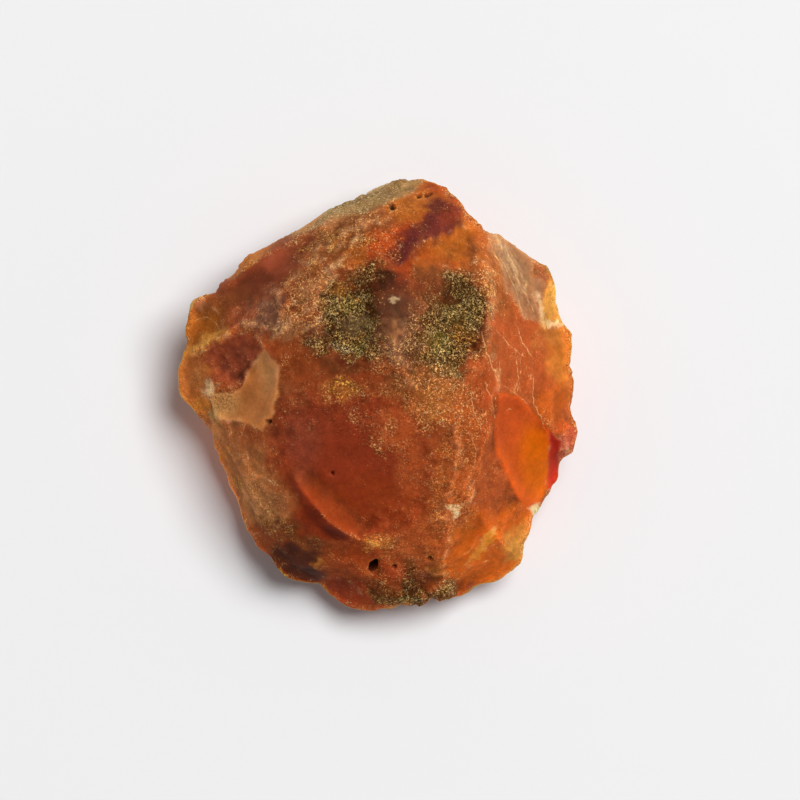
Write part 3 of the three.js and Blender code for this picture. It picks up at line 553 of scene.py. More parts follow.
# The longer scratches: name, how strong, and the line.
SCRATCHES = [
    ("strip one", 0.5, [(13.4, 16.6), (14.5, 15.2), (15.5, 13.4), (16.1, 11.7), (16.4, 10.1)]),
    ("strip two", 0.5, [(14.7, 16.9), (15.6, 15), (16.3, 12.9), (17.2, 11.3), (18, 9.5)]),
    ("face long", 0.8, [(12, 6.6), (12.5, 4.8), (13.2, 3.2), (13.9, 1.2)]),
    ("face curl", 0.6, [(14, 6.9), (15.3, 5.5), (16.5, 4.6)]),
    ("face down", 0.7, [(16.1, 7.6), (16.6, 6.2), (17.5, 4.8)]),
    ("face thin", 0.6, [(16, 3.7), (16.3, 2.1), (15.9, 0.3)]),
    ("face right", 0.55, [(18, 1.2), (18.1, -0.9), (18.7, -2.3), (19.1, -3.4)]),
    ("face low", 0.4, [(15, 0.7), (16.3, -0.2), (17.1, -0.9)]),
    ("face left", 0.5, [(12.6, 0.9), (13.1, -0.7), (13.4, -2.3)]),
    ("crest one", 0.5, [(10.8, -0.2), (11, -2), (11.7, -3.8)]),
    ("crest two", 0.5, [(10.9, -5.2), (11.3, -6.6), (11.1, -8.2)]),
    ("low edge", 0.3, [(9.8, -18.7), (10.7, -18.2), (11.4, -16.8)]),
    ("corner arc", 0.3, [(-20.9, 8.6), (-19.7, 9), (-18.6, 8.3), (-18.1, 7.3)]),
    ("under the flake", 0.3, [(-15.3, -3.9), (-15.6, -4.8), (-16, -5.3)]),
]
SCRATCH_REACH = 0.7

# Where the surface is smoother than elsewhere: name, centre, radii, turn, amount.
SMOOTH_PATCHES = [
    ("bowl", (-3.1, -8.7), (7, 6.5), 0, 0.7),
    ("smooth band", (-13.7, 13.7), (5.8, 1.8), 32, 0.8),
    ("right face", (15.6, 5), (4.6, 4.6), 0, 0.6),
    ("lower right", (12.4, -16.8), (4.6, 4.6), 0, 0.4),
    ("corner amber", (-19.9, 8.6), (3, 2.3), 0, 0.5),
]

# Where the surface swells out from the solid's: name, centre, radii, turn, height.
SWELLS = [
    ("upper left rim", (-7.5, 20), (9.5, 2.4), 33, 0.5),
    ("left top", (-18.8, 11.6), (2.4, 2), 30, 0.45),
    ("left side", (-23.2, -0.4), (1.4, 2.6), 0, 0.15),
    ("left flank", (-19.2, -9), (1.6, 5), 25, 0.3),
    ("notch in the foot", (5.6, -23), (3.4, 1.4), 0, 0.95),
    ("right top", (13, 18.2), (2.2, 1.8), -20, 0.4),
    ("tip", (22.6, -5.2), (1.6, 3), 10, 0.35),
    ("lower right", (17.6, -17), (1.4, 3), -15, 0.25),
    ("right nub", (22.6, 2.8), (1.1, 0.9), 0, -0.5),
    ("bottom", (2, -24), (8.5, 2), 0, 0.7),
]

# Arrises of the solid that are worn away: name, centre, radii, turn, amount in each sweep.
WORN = [
    ("upper edge of the crescent", (-5, -12.6), (5.5, 1.3), -38, 0.5),
    ("rim of the right pit", (12.5, 10.5), (1.8, 8), 0, 0.5),
    ("rim of the black pit", (-0.4, -19.9), (1.4, 1.6), 0, 0.5),
    ("upper edge of the scar", (16.6, -1.4), (4.6, 1.3), -27, 0.5),
]
WEAR_SWEEPS = 40

# Raised folds, where pale dust has caught: name, half width, height, how pale, and the line.
FOLDS = [
    ("above the left pit", 0.35, 0.3, 0.7, [(-5.5, 14.1), (-4, 15.6), (-2.9, 16.6), (-2, 18.2)]),
    ("left of the left pit", 0.5, 0.35, 0.4, [(-12.1, 6.5), (-8.9, 8.8), (-6.5, 10.5), (-4.9, 13.5)]),
    ("rim of the left pit", 0.25, 0.3, 0.5, [(-5.2, 11.3), (-6.3, 9.6), (-7.4, 8), (-8.3, 6.9)]),
    ("across the left", 0.5, 0.3, 0.4, [(-18, 6.3), (-15.5, 7.9), (-11.7, 7.5), (-9.5, 10.1)]),
    ("long shoulder", 0.5, 0.3, 0.35, [(-12.5, 10.5), (-9, 13.5), (-6.5, 16.5), (-3, 18.6), (1, 20.2)]),
    ("right strip", 0.3, 0.2, 0.6, [(13, 17.8), (14.8, 15.9), (16, 14.1), (16.5, 12), (17.6, 10.3)]),
    ("right strip two", 0.25, 0.15, 0.7, [(15, 16.8), (16.4, 14.9), (17.2, 13), (17, 11.4)]),
    ("rim of the right pit", 0.45, 0.3, 0.4, [(12.3, 15.2), (12.9, 12), (13.1, 8.6), (12.6, 5.7)]),
    ("below the right pit", 0.3, 0.15, 0.5, [(12.6, 5.7), (13.4, 3.6), (14.1, 1)]),
    ("crest", 0.6, 0.35, 0.3, [(8.8, -4.1), (9.2, -7.5), (8.4, -11), (7.6, -14.4)]),
    ("crest foot", 0.35, 0.2, 0.5, [
        (10.9, -10.2), (10.6, -12.1), (9, -13.7), (8, -15.8), (8.2, -17.9), (7.4, -20.1),
    ]),
    ("nose", 0.9, 0.35, 0.2, [(2.4, 8.4), (2, 5.6), (2.6, 3.4), (3.8, 1.2)]),
    ("under the flake", 0.3, 0.15, 0.5, [(-18.8, -2.6), (-17.3, -3.1), (-15.6, -2.9)]),
]

# A painted glow, a faint emission that stands in for light passing through the stone: the far side glows
# at full strength below the first height and not at all above the second.
PAINTED_GLOW_HEIGHTS = (4, 10)
PAINTED_GLOW_STRENGTH = 0.35
# Where the stone is clear enough for it: name, centre, radii, turn, amount.
PAINTED_GLOW_PLACES = [
    ("left flank", (-19, -8), (7, 9), 20, 1),
    ("foot", (5, -23), (6, 4), 0, 0.6),
]

# The smooth noises: wavelength, octaves, seed.
CLOUDS = {
    "warp across": (2.2, 4, 1),
    "warp along": (2.2, 4, 2),
    "ragged across": (0.9, 3, 17),
    "ragged along": (0.9, 3, 18),
    "bend": (3.0, 2, 7),
    "turn under": (3.0, 2, 3),
    "crust edge": (1.1, 4, 4),
    "brink": (1.5, 3, 14),
    "folds": (1.6, 3, 16),
    "pale folds": (1.2, 3, 15),
    "waves": (1.7, 4, 5),
    "ripples": (0.75, 3, 6),
    "crust lumps": (0.8, 4, 8),
    "amber below": (9.0, 3, 9),
    "deep red below": (7.0, 3, 10),
    "smoke below": (5.0, 3, 11),
    "shades": (1.8, 3, 12),
    "dust": (1.5, 3, 13),
}
# How far apart two seeds look in a noise.
CLOUD_SHIFT = (13.7, 7.1, 3.9)
SCALLOP_SHIFT = (5.3, 9.1, 2.7)

# How far the places of patches and folds are moved by noise, so that their edges are uneven.
WARP = 1.3
SLIGHT_WARP = 0.22
RAGGED_WARP = 0.55
FOLD_WARP = 0.5
# Where the soft edge of a patch, or of a hole, begins and ends, as shares of its radius.
OVAL_EDGE = (0.45, 1.35)
HOLE_EDGE = (0.6, 1.25)
# How wide the pale line along the sharp edge of a facet is; it is partly dust and partly a painted
# highlight.
EDGE_DUST_AND_HIGHLIGHT_WIDTH = 0.14

# The small relief: how high each kind is, and how wide the shell-shaped chips and breaks are.
WAVES = 0.13
RIPPLES = 0.05
CHIPS = 0.15
CHIPS_ON_ARRISES = 0.25
CHIP_SIZE = 2.6
BREAKS = 0.55
BREAK_SIZE = 6.0
BEND = 0.5
CRUST_LUMPS = 0.2
HOLE_DEPTH = 0.8
# The relief fades out over this height above the flat base.
BASE_FADE = 1.2
# Relief is what stands out over its surroundings after this many sweeps of smoothing.
RIDGE_SWEEPS = 12
BROAD_SWEEPS = 60

# Painted shade and light: how much lighter the colour is for each mm of relief, darker in hollows, and
# how much dust a crust holds.
PAINTED_SHADING_FINE = 2.2
PAINTED_SHADING_BROAD = 0.9
DUST_ON_CRUST = 0.72

# The textures of the material, each made from a noise: the noise's size in mm, detail and roughness,
# two levels of it, and what the texture is at the first and at the second.
TEXTURES = {
    "clouds": (1.6, 3, 0.5, 0.3, 0.7, 0.94, 1.07),
    "mottles": (0.45, 3, 0.6, 0.3, 0.7, -1, 1),
    "sand": (0.2, 2, 0.6, 0.35, 0.65, -1, 1),
    "whole lines": (0.24, 1, 0.55, 0.4, 0.54, 0, 1),
    "curled places": (0.55, 2, 0.55, 0.46, 0.58, 0, 1),
    "dots": (0.19, 1, 0.55, 0.66, 0.72, 0, 1),
    # Painted glints: how much brighter some grains are painted.
    "painted glints": (0.25, 2, 0.55, 0.35, 0.68, 0.2, 1.95),
    "paler grains": (0.7, 2, 0.55, 0.55, 0.7, 0, 0.6),
    "scratch wear": (0.45, 2, 0.55, 0.38, 0.6, 0.15, 1),
}
# Curly lines: how far apart they lie in mm, and how wide they are in levels of their noise.
STRANDS = {
    "lines": (0.4, 0.012),
    "finer lines": (0.27, 0.012),
    "curls": (0.75, 0.009),
    "scratches": (1.3, 0.006),
}
# What thicker dust changes: two amounts of dust, and its effect at the first and at the second.
BY_DUST = {
    "mottles": (0.2, 0.9, 0.08, 0.28),
    "sand": (0.1, 0.8, 0.05, 0.26),
    "curls": (0.35, 0.8, 0, 1),
    "bareness": (0, 1, 0.74, 0.3),
    "grains": (0.1, 0.9, 0.3, 1),
    "roughness": (0, 1, 0.5, 0.85),
}
# How far the clumps of dust rise over its bareness where its lines, and its dots, begin to show and
# where they show in full.
LINES_SHOW = (-0.12, 0.24)
DOTS_SHOW = (-0.25, 0.05)

# The material, in metres as its nodes need: how far noise curls the grains, where a second noise is
# looked up, how high the bump is and how far light reaches in.
CURL = (0.3 * MM, 0.3 * MM, 0.3 * MM)
ASIDE = (0.0137, 0.0071, 0.0193)
BUMP_HEIGHT = 0.14 * MM
LIGHT_REACH = 4 * MM
# The fine scratches are a noise that is turned and then drawn out along Y.
SCRATCH_TURN = math.radians(-20)
SCRATCH_STRETCH = (1, 0.06, 1)
# The long scratches fade out between these distances from their lines, in mm.
LONG_SCRATCH_EDGE = (0.02, 0.09)


# ---------------- helpers on arrays of points


def smooth(value, low, high):
    """0 below low, 1 above high, and a smooth rise between them."""
    t = np.clip((value - low) / (high - low), 0, 1)
    return t * t * (3 - 2 * t)


def linear(name):
    """A palette colour as linear RGB."""
    code = PALETTE[name]
    srgb = np.array([int(code[i:i + 2], 16) / 255 for i in (0, 2, 4)])
    return np.where(srgb <= 0.04045, srgb / 12.92, ((srgb + 0.055) / 1.055) ** 2.4)


def cloud(points, name):
    """One of the smooth noises, from about -1 to 1 at each point."""
    wavelength, octaves, seed = CLOUDS[name]
    places = points / wavelength + seed * np.array(CLOUD_SHIFT)
    return np.array([noise.fractal(place, 1.0, 2.0, octaves) for place in places.tolist()])


def scallops(points, size, seed):
    """0 in the middle of each shell-shaped chip, rising to sharp ridges of about 1 between them."""
    places = points / size + seed * np.array(SCALLOP_SHIFT)
    nearest = np.array([noise.voronoi(place)[0][0] for place in places.tolist()])
    return np.minimum(nearest, 1) ** 2


def sideways(points, name):
    """A noise at each point that pushes sideways."""
    across = cloud(points, name + " across")
    along = cloud(points, name + " along")
    return np.stack([across, along, np.zeros(len(points))], 1)


def oval_radius(points, centre, radii, turn):
    """0 in the middle of an oval, 1 on its edge."""
    angle = math.radians(turn)
    dx = points[:, 0] - centre[0]
    dy = points[:, 1] - centre[1]
    u = (dx * math.cos(angle) + dy * math.sin(angle)) / radii[0]
    v = (dy * math.cos(angle) - dx * math.sin(angle)) / radii[1]
    return np.hypot(u, v)


def soft_oval(points, centre, radii, turn):
    """1 in the middle of an oval, fading to 0 beyond its edge."""
    return 1 - smooth(oval_radius(points, centre, radii, turn), *OVAL_EDGE)


def beside(points, line):
    """The distance to the nearest stretch of a line, and the distance to its left or, below 0, right."""
    x, y = points[:, 0], points[:, 1]
    nearest = np.full(len(points), np.inf)
    side = np.zeros(len(points))
    for (ax, ay), (bx, by) in zip(line, line[1:]):
        length = math.hypot(bx - ax, by - ay)
        ex, ey = (bx - ax) / length, (by - ay) / length
        along = np.clip((x - ax) * ex + (y - ay) * ey, 0, length)
        distance = np.hypot(x - ax - along * ex, y - ay - along * ey)
        side = np.where(distance < nearest, (y - ay) * ex - (x - ax) * ey, side)
        nearest = np.minimum(nearest, distance)
    return nearest, side


def depth_inside(points, outline):
    """The distance to an outline, positive inside it."""
    x, y = points[:, 0], points[:, 1]
    closed = outline + outline[:1]
    inside = np.zeros(len(points), dtype=bool)
    for (ax, ay), (bx, by) in zip(closed, closed[1:]):
        if ay != by:
            crosses = (ay > y) != (by > y)
            inside ^= crosses & (x < (bx - ax) * (y - ay) / (by - ay) + ax)
    nearest, _ = beside(points, closed)
    return np.where(inside, nearest, -nearest)


def blend(values, value, amount):
    """values moved towards value by amount, which is one number for each point."""
    if values.ndim == 2:
        amount = amount[:, None]
    return values + (value - values) * amount


def dab(values, ovals, points, within=1):
    """The values moved towards the amount of each oval in turn."""
    for _, centre, radii, turn, amount in ovals:
        values = blend(values, amount, within * soft_oval(points, centre, radii, turn))
    return values


def strongest(ovals, points):
    """The largest amount that an oval has at each point."""
    values = np.zeros(len(points))
    for _, centre, radii, turn, amount in ovals:
        values = np.maximum(values, amount * soft_oval(points, centre, radii, turn))
    return values


def dab_colours(colours, patches, points, facets=None):
    """The colours with each patch painted over them, inside the facet it names if facets are given."""
    for name, colour, centre, radii, turn, strength in patches:
        amount = strength * soft_oval(points, centre, radii, turn)
        if facets:
            amount = amount * facets[name]
        colours = blend(colours, linear(colour), amount)
    return colours


# ---------------- the surface


def put_in_scene(name, data):
    """A new object that shows the data."""
    holder = bpy.data.objects.new(name, data)
    bpy.context.scene.collection.objects.link(holder)
    return holder


def fine_mesh(node):
    """The node's solid, made finer and rounder except along its sharp edges."""
    mesh = bpy.data.meshes.new("fine")
    bm = bmesh.new()
    bm.from_mesh(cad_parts[node].data)
    bmesh.ops.remove_doubles(bm, verts=bm.verts, dist=SAME_POINT)
    crease = bm.edges.layers.float.new("crease_edge")
    for edge in bm.edges:
        turn = edge.calc_face_angle(0)
        edge[crease] = min(1, max(0, (turn - CREASE_FROM) / (CREASE_FULL - CREASE_FROM)))
    bm.to_mesh(mesh)
    bm.free()
    scratch = put_in_scene("fine", mesh)
    finer = scratch.modifiers.new("finer", "SUBSURF")
    finer.levels = SUBDIVISIONS
    depsgraph = bpy.context.evaluated_depsgraph_get()
    result = bpy.data.meshes.new_from_object(scratch.evaluated_get(depsgraph))
    bpy.data.objects.remove(scratch)
    bpy.data.meshes.remove(mesh)
    return result


def read_rows(items, name, width, kind):
    """A value of each of a mesh's items, one row for each."""
    flat = np.empty(len(items) * width, dtype=kind)
    items.foreach_get(name, flat)
    return flat.reshape(-1, width)


def read_points(mesh):
    return read_rows(mesh.vertices, "co", 3, float) / MM


def read_normals(mesh):
    return read_rows(mesh.vertex_normals, "vector", 3, np.float32).astype(float)


def write_points(mesh, points):
    mesh.vertices.foreach_set("co", (points * MM).ravel())
    mesh.update()


def neighbour_mean(values, edges):
    """The mean of each point's neighbours."""
    count = np.bincount(edges.ravel(), minlength=len(values))
    columns = []
    for column in np.atleast_2d(values.T):
        total = np.bincount(edges[:, 0], column[edges[:, 1]], len(values))
        total += np.bincount(edges[:, 1], column[edges[:, 0]], len(values))
        columns.append(total / count)
    return np.array(columns).T.reshape(values.shape)


def ridge_amount(points, normals, edges, sweeps):
    """How far each point stands out over the surface around it, in mm; hollows are below 0."""
    around = points
    for _ in range(sweeps):
        around = 0.5 * around + 0.5 * neighbour_mean(around, edges)
    return np.einsum("ij,ij->i", points - around, normals)


def wear(points, edges):
    """The points with the worn arrises rounded off."""
    amount = strongest(WORN, points)
    for _ in range(WEAR_SWEEPS):
        points = blend(points, neighbour_mean(points, edges), amount)
    return points


# ---------------- masks


def mask_facets(masks, points):
    """Where each facet is, how far the facets sink, the sharp edges that they leave, and the pale line
    along those edges, partly dust and partly a painted highlight.
    """
    masks.facets = {}
    masks.sunk = np.zeros(len(points))
    brink = np.zeros(len(points))
    for name, (drop, reach, _, _, edge, outline) in FACETS.items():
        depth = depth_inside(masks.ragged if reach < RAGGED_REACH else masks.uneven, outline)
        masks.sunk += drop * (1 - np.exp(-np.maximum(depth, 0) / reach)) * masks.level
        masks.facets[name] = masks.upper * smooth(depth, -edge - 0.01, edge + 0.01)
        if drop > 0 and reach < SOFT_REACH:
            brink = np.maximum(brink, np.exp(-(depth / EDGE_DUST_AND_HIGHLIGHT_WIDTH) ** 2))
    masks.brink = masks.upper * brink * smooth(cloud(points, "brink"), -0.1, 0.3)
    masks.clean = np.max([masks.facets[name] for name in CLEAN_FACETS], axis=0)


def mask_crusts(masks, points):
    """Where the crusts are, with ragged edges."""
    ragged = 0.3 + 0.8 * cloud(points, "crust edge")
    depth = np.max([depth_inside(masks.warped, outline) for outline in CRUSTS.values()], axis=0)
    masks.crust = masks.upper * smooth(depth + ragged, -CRUST_EDGE, CRUST_EDGE)


def mask_holes(masks):
    """Where the small holes are."""
    radius = np.min([oval_radius(masks.uneven, *oval) for _, *oval in HOLES], axis=0)
    masks.hole = masks.upper * (1 - smooth(radius, *HOLE_EDGE))


def mask_folds(masks, points, push):
    """How high the folds stand, and how pale they are."""
    raised = np.zeros(len(points))
    pale = np.zeros(len(points))
    bent = points + FOLD_WARP * push
    for _, half_width, height, paleness, line in FOLDS:
        distance, _ = beside(bent, line)
        near = np.exp(-(distance / half_width) ** 2)
        raised = np.maximum(raised, height * near)
        pale = np.maximum(pale, paleness * near)
    masks.raised = raised * smooth(cloud(points, "folds"), -0.5, 0.3)
    masks.pale = masks.upper * pale * smooth(cloud(points, "pale folds"), -0.35, 0.25)


def mask_scratches(masks, points):
    """How strong the nearest long scratch is, and how far to its side each point lies."""
    nearest = np.full(len(points), np.inf)
    strength = np.zeros(len(points))
    masks.scratch_side = np.zeros(len(points))
    for _, amount, line in SCRATCHES:
        distance, side = beside(points, line)
        closer = distance < nearest
        nearest = np.where(closer, distance, nearest)
        strength = np.where(closer, amount, strength)
        masks.scratch_side = np.where(closer, side, masks.scratch_side)
    near = 1 - smooth(nearest, 0.3 * SCRATCH_REACH, SCRATCH_REACH)
    masks.scratch = masks.upper * strength * near


def make_masks(points, normals, edges):
    """Everything that both the relief and the colours need to know about each point."""
    masks = SimpleNamespace()
    push = sideways(points, "warp")
    masks.warped = points + WARP * push
    masks.uneven = points + SLIGHT_WARP * push
    masks.ragged = points + RAGGED_WARP * sideways(points, "ragged")
    # The side that the photo shows, and the faces that lie flat enough to sink and to catch dust.
    masks.upper = smooth(normals[:, 2] + 0.12 * cloud(points, "turn under"), -0.8, -0.4)
    masks.level = smooth(normals[:, 2], 0.0, 0.5)
    masks.vein = masks.upper * smooth(depth_inside(masks.warped, VEIN), -0.8, 0.5)
    masks.ridge = ridge_amount(points, normals, edges, RIDGE_SWEEPS)
    mask_facets(masks, points)
    mask_crusts(masks, points)
    mask_holes(masks)
    mask_folds(masks, points, push)
    mask_scratches(masks, points)
    masks.smooth = np.maximum(masks.clean, dab(np.zeros(len(points)), SMOOTH_PATCHES, masks.warped))
    masks.scratched = masks.upper * dab(np.zeros(len(points)), SCRATCHED, points)
    return masks


# ---------------- relief


def carve(points, normals, masks):
    """Moves the points along their normals by the stone's small relief."""
    rough = 1 - 0.85 * masks.smooth
    height = WAVES * rough * cloud(points, "waves")
    height += RIPPLES * rough * cloud(points, "ripples")
    bent = points + BEND * cloud(points, "bend")[:, None]
    chips = CHIPS + CHIPS_ON_ARRISES * smooth(masks.ridge, 0.05, 0.3)
    height += chips * rough * (scallops(bent, CHIP_SIZE, 1) - 0.4)
    height += BREAKS * (1 - masks.smooth) * (scallops(bent, BREAK_SIZE, 2) - 0.4)
    height += CRUST_LUMPS * masks.crust * cloud(points, "crust lumps")
    height += masks.raised
    for _, centre, radii, turn, swell in SWELLS:
        height += swell * soft_oval(points, centre, radii, turn)
    height -= HOLE_DEPTH * masks.hole
    above_base = smooth(points[:, 2], 0, BASE_FADE)
    moved = points + normals * (height * (0.15 + 0.85 * above_base))[:, None]
    moved[:, 2] -= masks.sunk * above_base
    moved[:, 2] = np.maximum(moved[:, 2], 0)
    return moved


# ---------------- colours


def paint_top(masks):
    """The colours that the photo shows."""
    top = np.tile(linear("rust"), (len(masks.upper), 1))
    top = dab_colours(top, SOFT_PATCHES, masks.warped)
    for name, (_, _, colour, strength, _, _) in FACETS.items():
        if colour:
            top = blend(top, linear(colour), strength * masks.facets[name])
    top = dab_colours(top, FACET_PATCHES, masks.uneven, masks.facets)
    top = blend(top, linear("plum"), 0.88 * masks.vein)
    # Pale edges of the facets, partly dust and partly painted highlight, and pale dust on the folds.
    top = blend(top, linear("cream"), np.maximum(0.15 * masks.brink, 0.4 * masks.pale))
    top = blend(top, linear("crust"), 0.85 * masks.crust)
    return dab_colours(top, LATE_PATCHES, masks.ragged)


def paint_underside(points):
    """The colours of the hidden side, which are a guess."""
    under = np.tile(linear("brick"), (len(points), 1))
    for name, low, high, strength in UNDERSIDE:
        amount = strength * smooth(cloud(points, name + " below"), low, high)
        under = blend(under, linear(name), amount)
    return under


def paint(points, masks):
    """The colour at each point, with painted shade: hollows are darker, and what stands out is lighter,
    as painted light.
    """
    colours = blend(paint_underside(points), paint_top(masks), masks.upper)
    colours = colours * (1 + 0.1 * cloud(points, "shades"))[:, None]
    # Painted shade and painted light: the colour is darkened in hollows and lightened where the surface
    # stands out.
    fine = masks.fine_relief * (1 - 0.6 * masks.smooth)
    light = 1 + PAINTED_SHADING_FINE * fine + PAINTED_SHADING_BROAD * masks.broad_relief
    colours = colours * np.clip(light, 0.5, 1.5)[:, None]
    colours = blend(colours, linear("black"), 0.92 * masks.hole)
    return np.clip(colours, 0, 1)


def settle_dust(points, masks):
    """How thick the dust lies at each point."""
    dust = dab(np.full(len(points), DUST_EVERYWHERE), DUST_PATCHES, masks.warped)
    dust *= 1 + 0.5 * cloud(points, "dust")
    caught = 0.5 * smooth(masks.ridge, 0.04, 0.2) + 1.2 * masks.fine_relief
    caught *= masks.level
    dust += caught * (1 - masks.smooth) + 0.3 * masks.brink + 0.4 * masks.pale
    dust *= 1 - 0.92 * masks.clean * (1 - strongest(ROUGH_EDGES, points))
    dust *= 1 - 0.15 * masks.vein
    dust = blend(dust, DUST_ON_CRUST, masks.crust)
    dust = dab(dust, PIT_DUST, masks.ragged, masks.crust)
    dust *= 1 - masks.hole
    return np.clip(dust, 0, 1)


def paint_grains(masks):
    """The colour of the dust at each point."""
    grain = np.tile(linear("gold grain"), (len(masks.crust), 1))
    grain = blend(grain, linear("moss grain"), masks.crust)
    return dab_colours(grain, GRAIN_PATCHES, masks.warped)


def glow(points, normals):
    """Where the painted glow is: low down on the far side, where light that went in on the bright side
    would come out again.
    """
    azimuth = math.radians(WINDOW_DIRECTION[0])
    away = -(normals[:, 0] * math.cos(azimuth) + normals[:, 1] * math.sin(azimuth))
    turned = smooth(away, 0.1, 0.6) * smooth(-normals[:, 2], 0.0, 0.35)
    return strongest(PAINTED_GLOW_PLACES, points) * turned * (1 - smooth(points[:, 2], *PAINTED_GLOW_HEIGHTS))


def store(mesh, name, values):
    """Keeps a number or a colour for each point, where the material reads it."""
    if values.ndim == 1:
        attribute = mesh.attributes.new(name, "FLOAT", "POINT")
        attribute.data.foreach_set("value", values.astype(np.float32))
    else:
        attribute = mesh.attributes.new(name, "FLOAT_COLOR", "POINT")
        rgba = np.concatenate([values, np.ones((len(values), 1))], 1)
        attribute.data.foreach_set("color", rgba.astype(np.float32).ravel())


# ---------------- node helpers


class Value:
    """What a node gives at each point: a number, a place or a colour."""

    def __init__(self, nodes, socket):
        self.nodes = nodes
        self.socket = socket

    def work_out(self, operation, other=0):
        """The result of an operation, on vectors unless this is a plain number."""
        kind = "Math" if self.socket.type == "VALUE" else "VectorMath"
        return self.nodes.add(kind, {0: self, 1: other}, operation=operation)

    def __add__(self, other):
        return self.work_out("ADD", other)

    def __sub__(self, other):
        return self.work_out("SUBTRACT", other)

    def __mul__(self, other):
        return self.work_out("MULTIPLY", other)

    def __abs__(self):
        return self.work_out("ABSOLUTE")

    def at_least(self, other):
        """The larger of the two."""
        return self.work_out("MAXIMUM", other)

    def ramp(self, low, high, to_low=0, to_high=1):
        """The range from low to high, mapped smoothly and held at its ends."""
        inputs = {"Value": self, "From Min": low, "From Max": high, "To Min": to_low, "To Max": to_high}
        return self.nodes.add("MapRange", inputs, interpolation_type="SMOOTHSTEP")

    def noise(self, size, detail, roughness=0.55, output="Fac"):
        """Noise at this place, with features of about size mm."""
        inputs = {"Vector": self, "Scale": 1 / (size * MM), "Detail": detail, "Roughness": roughness}
        return self.nodes.add("TexNoise", inputs, output)

    def texture(self, name):
        """One of the textures at this place."""
        size, detail, roughness, *levels = TEXTURES[name]
        return self.noise(size, detail, roughness).ramp(*levels)


class Nodes:
    """A short way to write the nodes of a material or a world."""

    def __init__(self, owner, shader):
        owner.use_nodes = True
        self.tree = owner.node_tree
        self.shader = self.tree.nodes[shader]

    def fill(self, node, inputs):
        for key, value in inputs.items():
            if isinstance(value, Value):
                self.tree.links.new(value.socket, node.inputs[key])
            else:
                node.inputs[key].default_value = value

    def add(self, kind, inputs, output=0, **settings):
        node = self.tree.nodes.new("ShaderNode" + kind)
        for key, value in settings.items():
            setattr(node, key, value)
        self.fill(node, inputs)
        return Value(self, node.outputs[output])

    def mix(self, factor, a, b):
        return self.add("Mix", {"Factor": factor, 6: a, 7: b}, 2, data_type="RGBA")

    def stored(self, name, output="Fac"):
        return self.add("Attribute", {}, output, attribute_name=name)


# ---------------- the stone's material


def strands(place, name):
    """Thin curly lines: 1 along the middle level of a noise, 0 beside it."""
    size, width = STRANDS[name]
    return abs(place.noise(size, 1) - 0.5).ramp(width, width * 2.6, 1, 0)


def uneven_tint(nodes, place, aside, dust):
    """The painted colour with clouds, mottling and, where dust lies, a sandy unevenness."""
    mottles = place.texture("mottles") * dust.ramp(*BY_DUST["mottles"])
    sand = aside.texture("sand") * dust.ramp(*BY_DUST["sand"])
    return nodes.stored("tint", "Color") * (place.texture("clouds") + (mottles + sand))


def dust_grains(place, curly, aside, dust, crust):
    """Where the dust shows, its grains standing partly for painted glints: broken curly lines and dots
    that clump, and longer curls.
    """
    lines = strands(curly, "lines").at_least(strands(aside, "finer lines"))
    lines = lines * aside.texture("whole lines").at_least(crust * 0.7)
    curls = strands(aside, "curls") * dust.ramp(*BY_DUST["curls"]) * place.texture("curled places")
    clumps = place.noise(0.5, 3, 0.6) * 0.5 + place.noise(2.2, 4, 0.6) * 0.5 - 0.5
    contrast = crust.ramp(0, 1, 1.1, 1.7)
    over = clumps * contrast - (dust.ramp(*BY_DUST["bareness"]) - 0.5)
    lines = lines.at_least(curls) * over.ramp(*LINES_SHOW)
    dots = place.texture("dots") * over.ramp(*DOTS_SHOW)
    return lines.at_least(dots) * dust.ramp(*BY_DUST["grains"])


def grain_colour(nodes, aside):
    """The colour of the grains: some are brightened as painted glints, and some are paler."""
    grains_with_painted_glints = nodes.stored("grain", "Color") * aside.texture("painted glints")
    return nodes.mix(aside.texture("paler grains"), grains_with_painted_glints, (*linear("pale grain"), 1))


def scratch_marks(nodes, place, curly, aside):
    """Fine scratches that run one way, and the long ones, worn away here and there."""
    scratched = nodes.stored("scratched")
    inputs = {"Vector": curly, "Angle": SCRATCH_TURN}
    drawn = nodes.add("VectorRotate", inputs, rotation_type="Z_AXIS") * SCRATCH_STRETCH
    level = place.noise(1.6, 3, 0.6) + scratched * 0.3
    fine = strands(drawn, "scratches") * level.ramp(0.66, 0.84) * scratched.ramp(0, 0.3)
    wobble = (place.noise(0.7, 2) - 0.5) * 0.5
    offset = abs(nodes.stored("scratch_side") + wobble)
    long = offset.ramp(*LONG_SCRATCH_EDGE, 1, 0) * nodes.stored("scratch")
    return fine.at_least(long * aside.texture("scratch wear"))


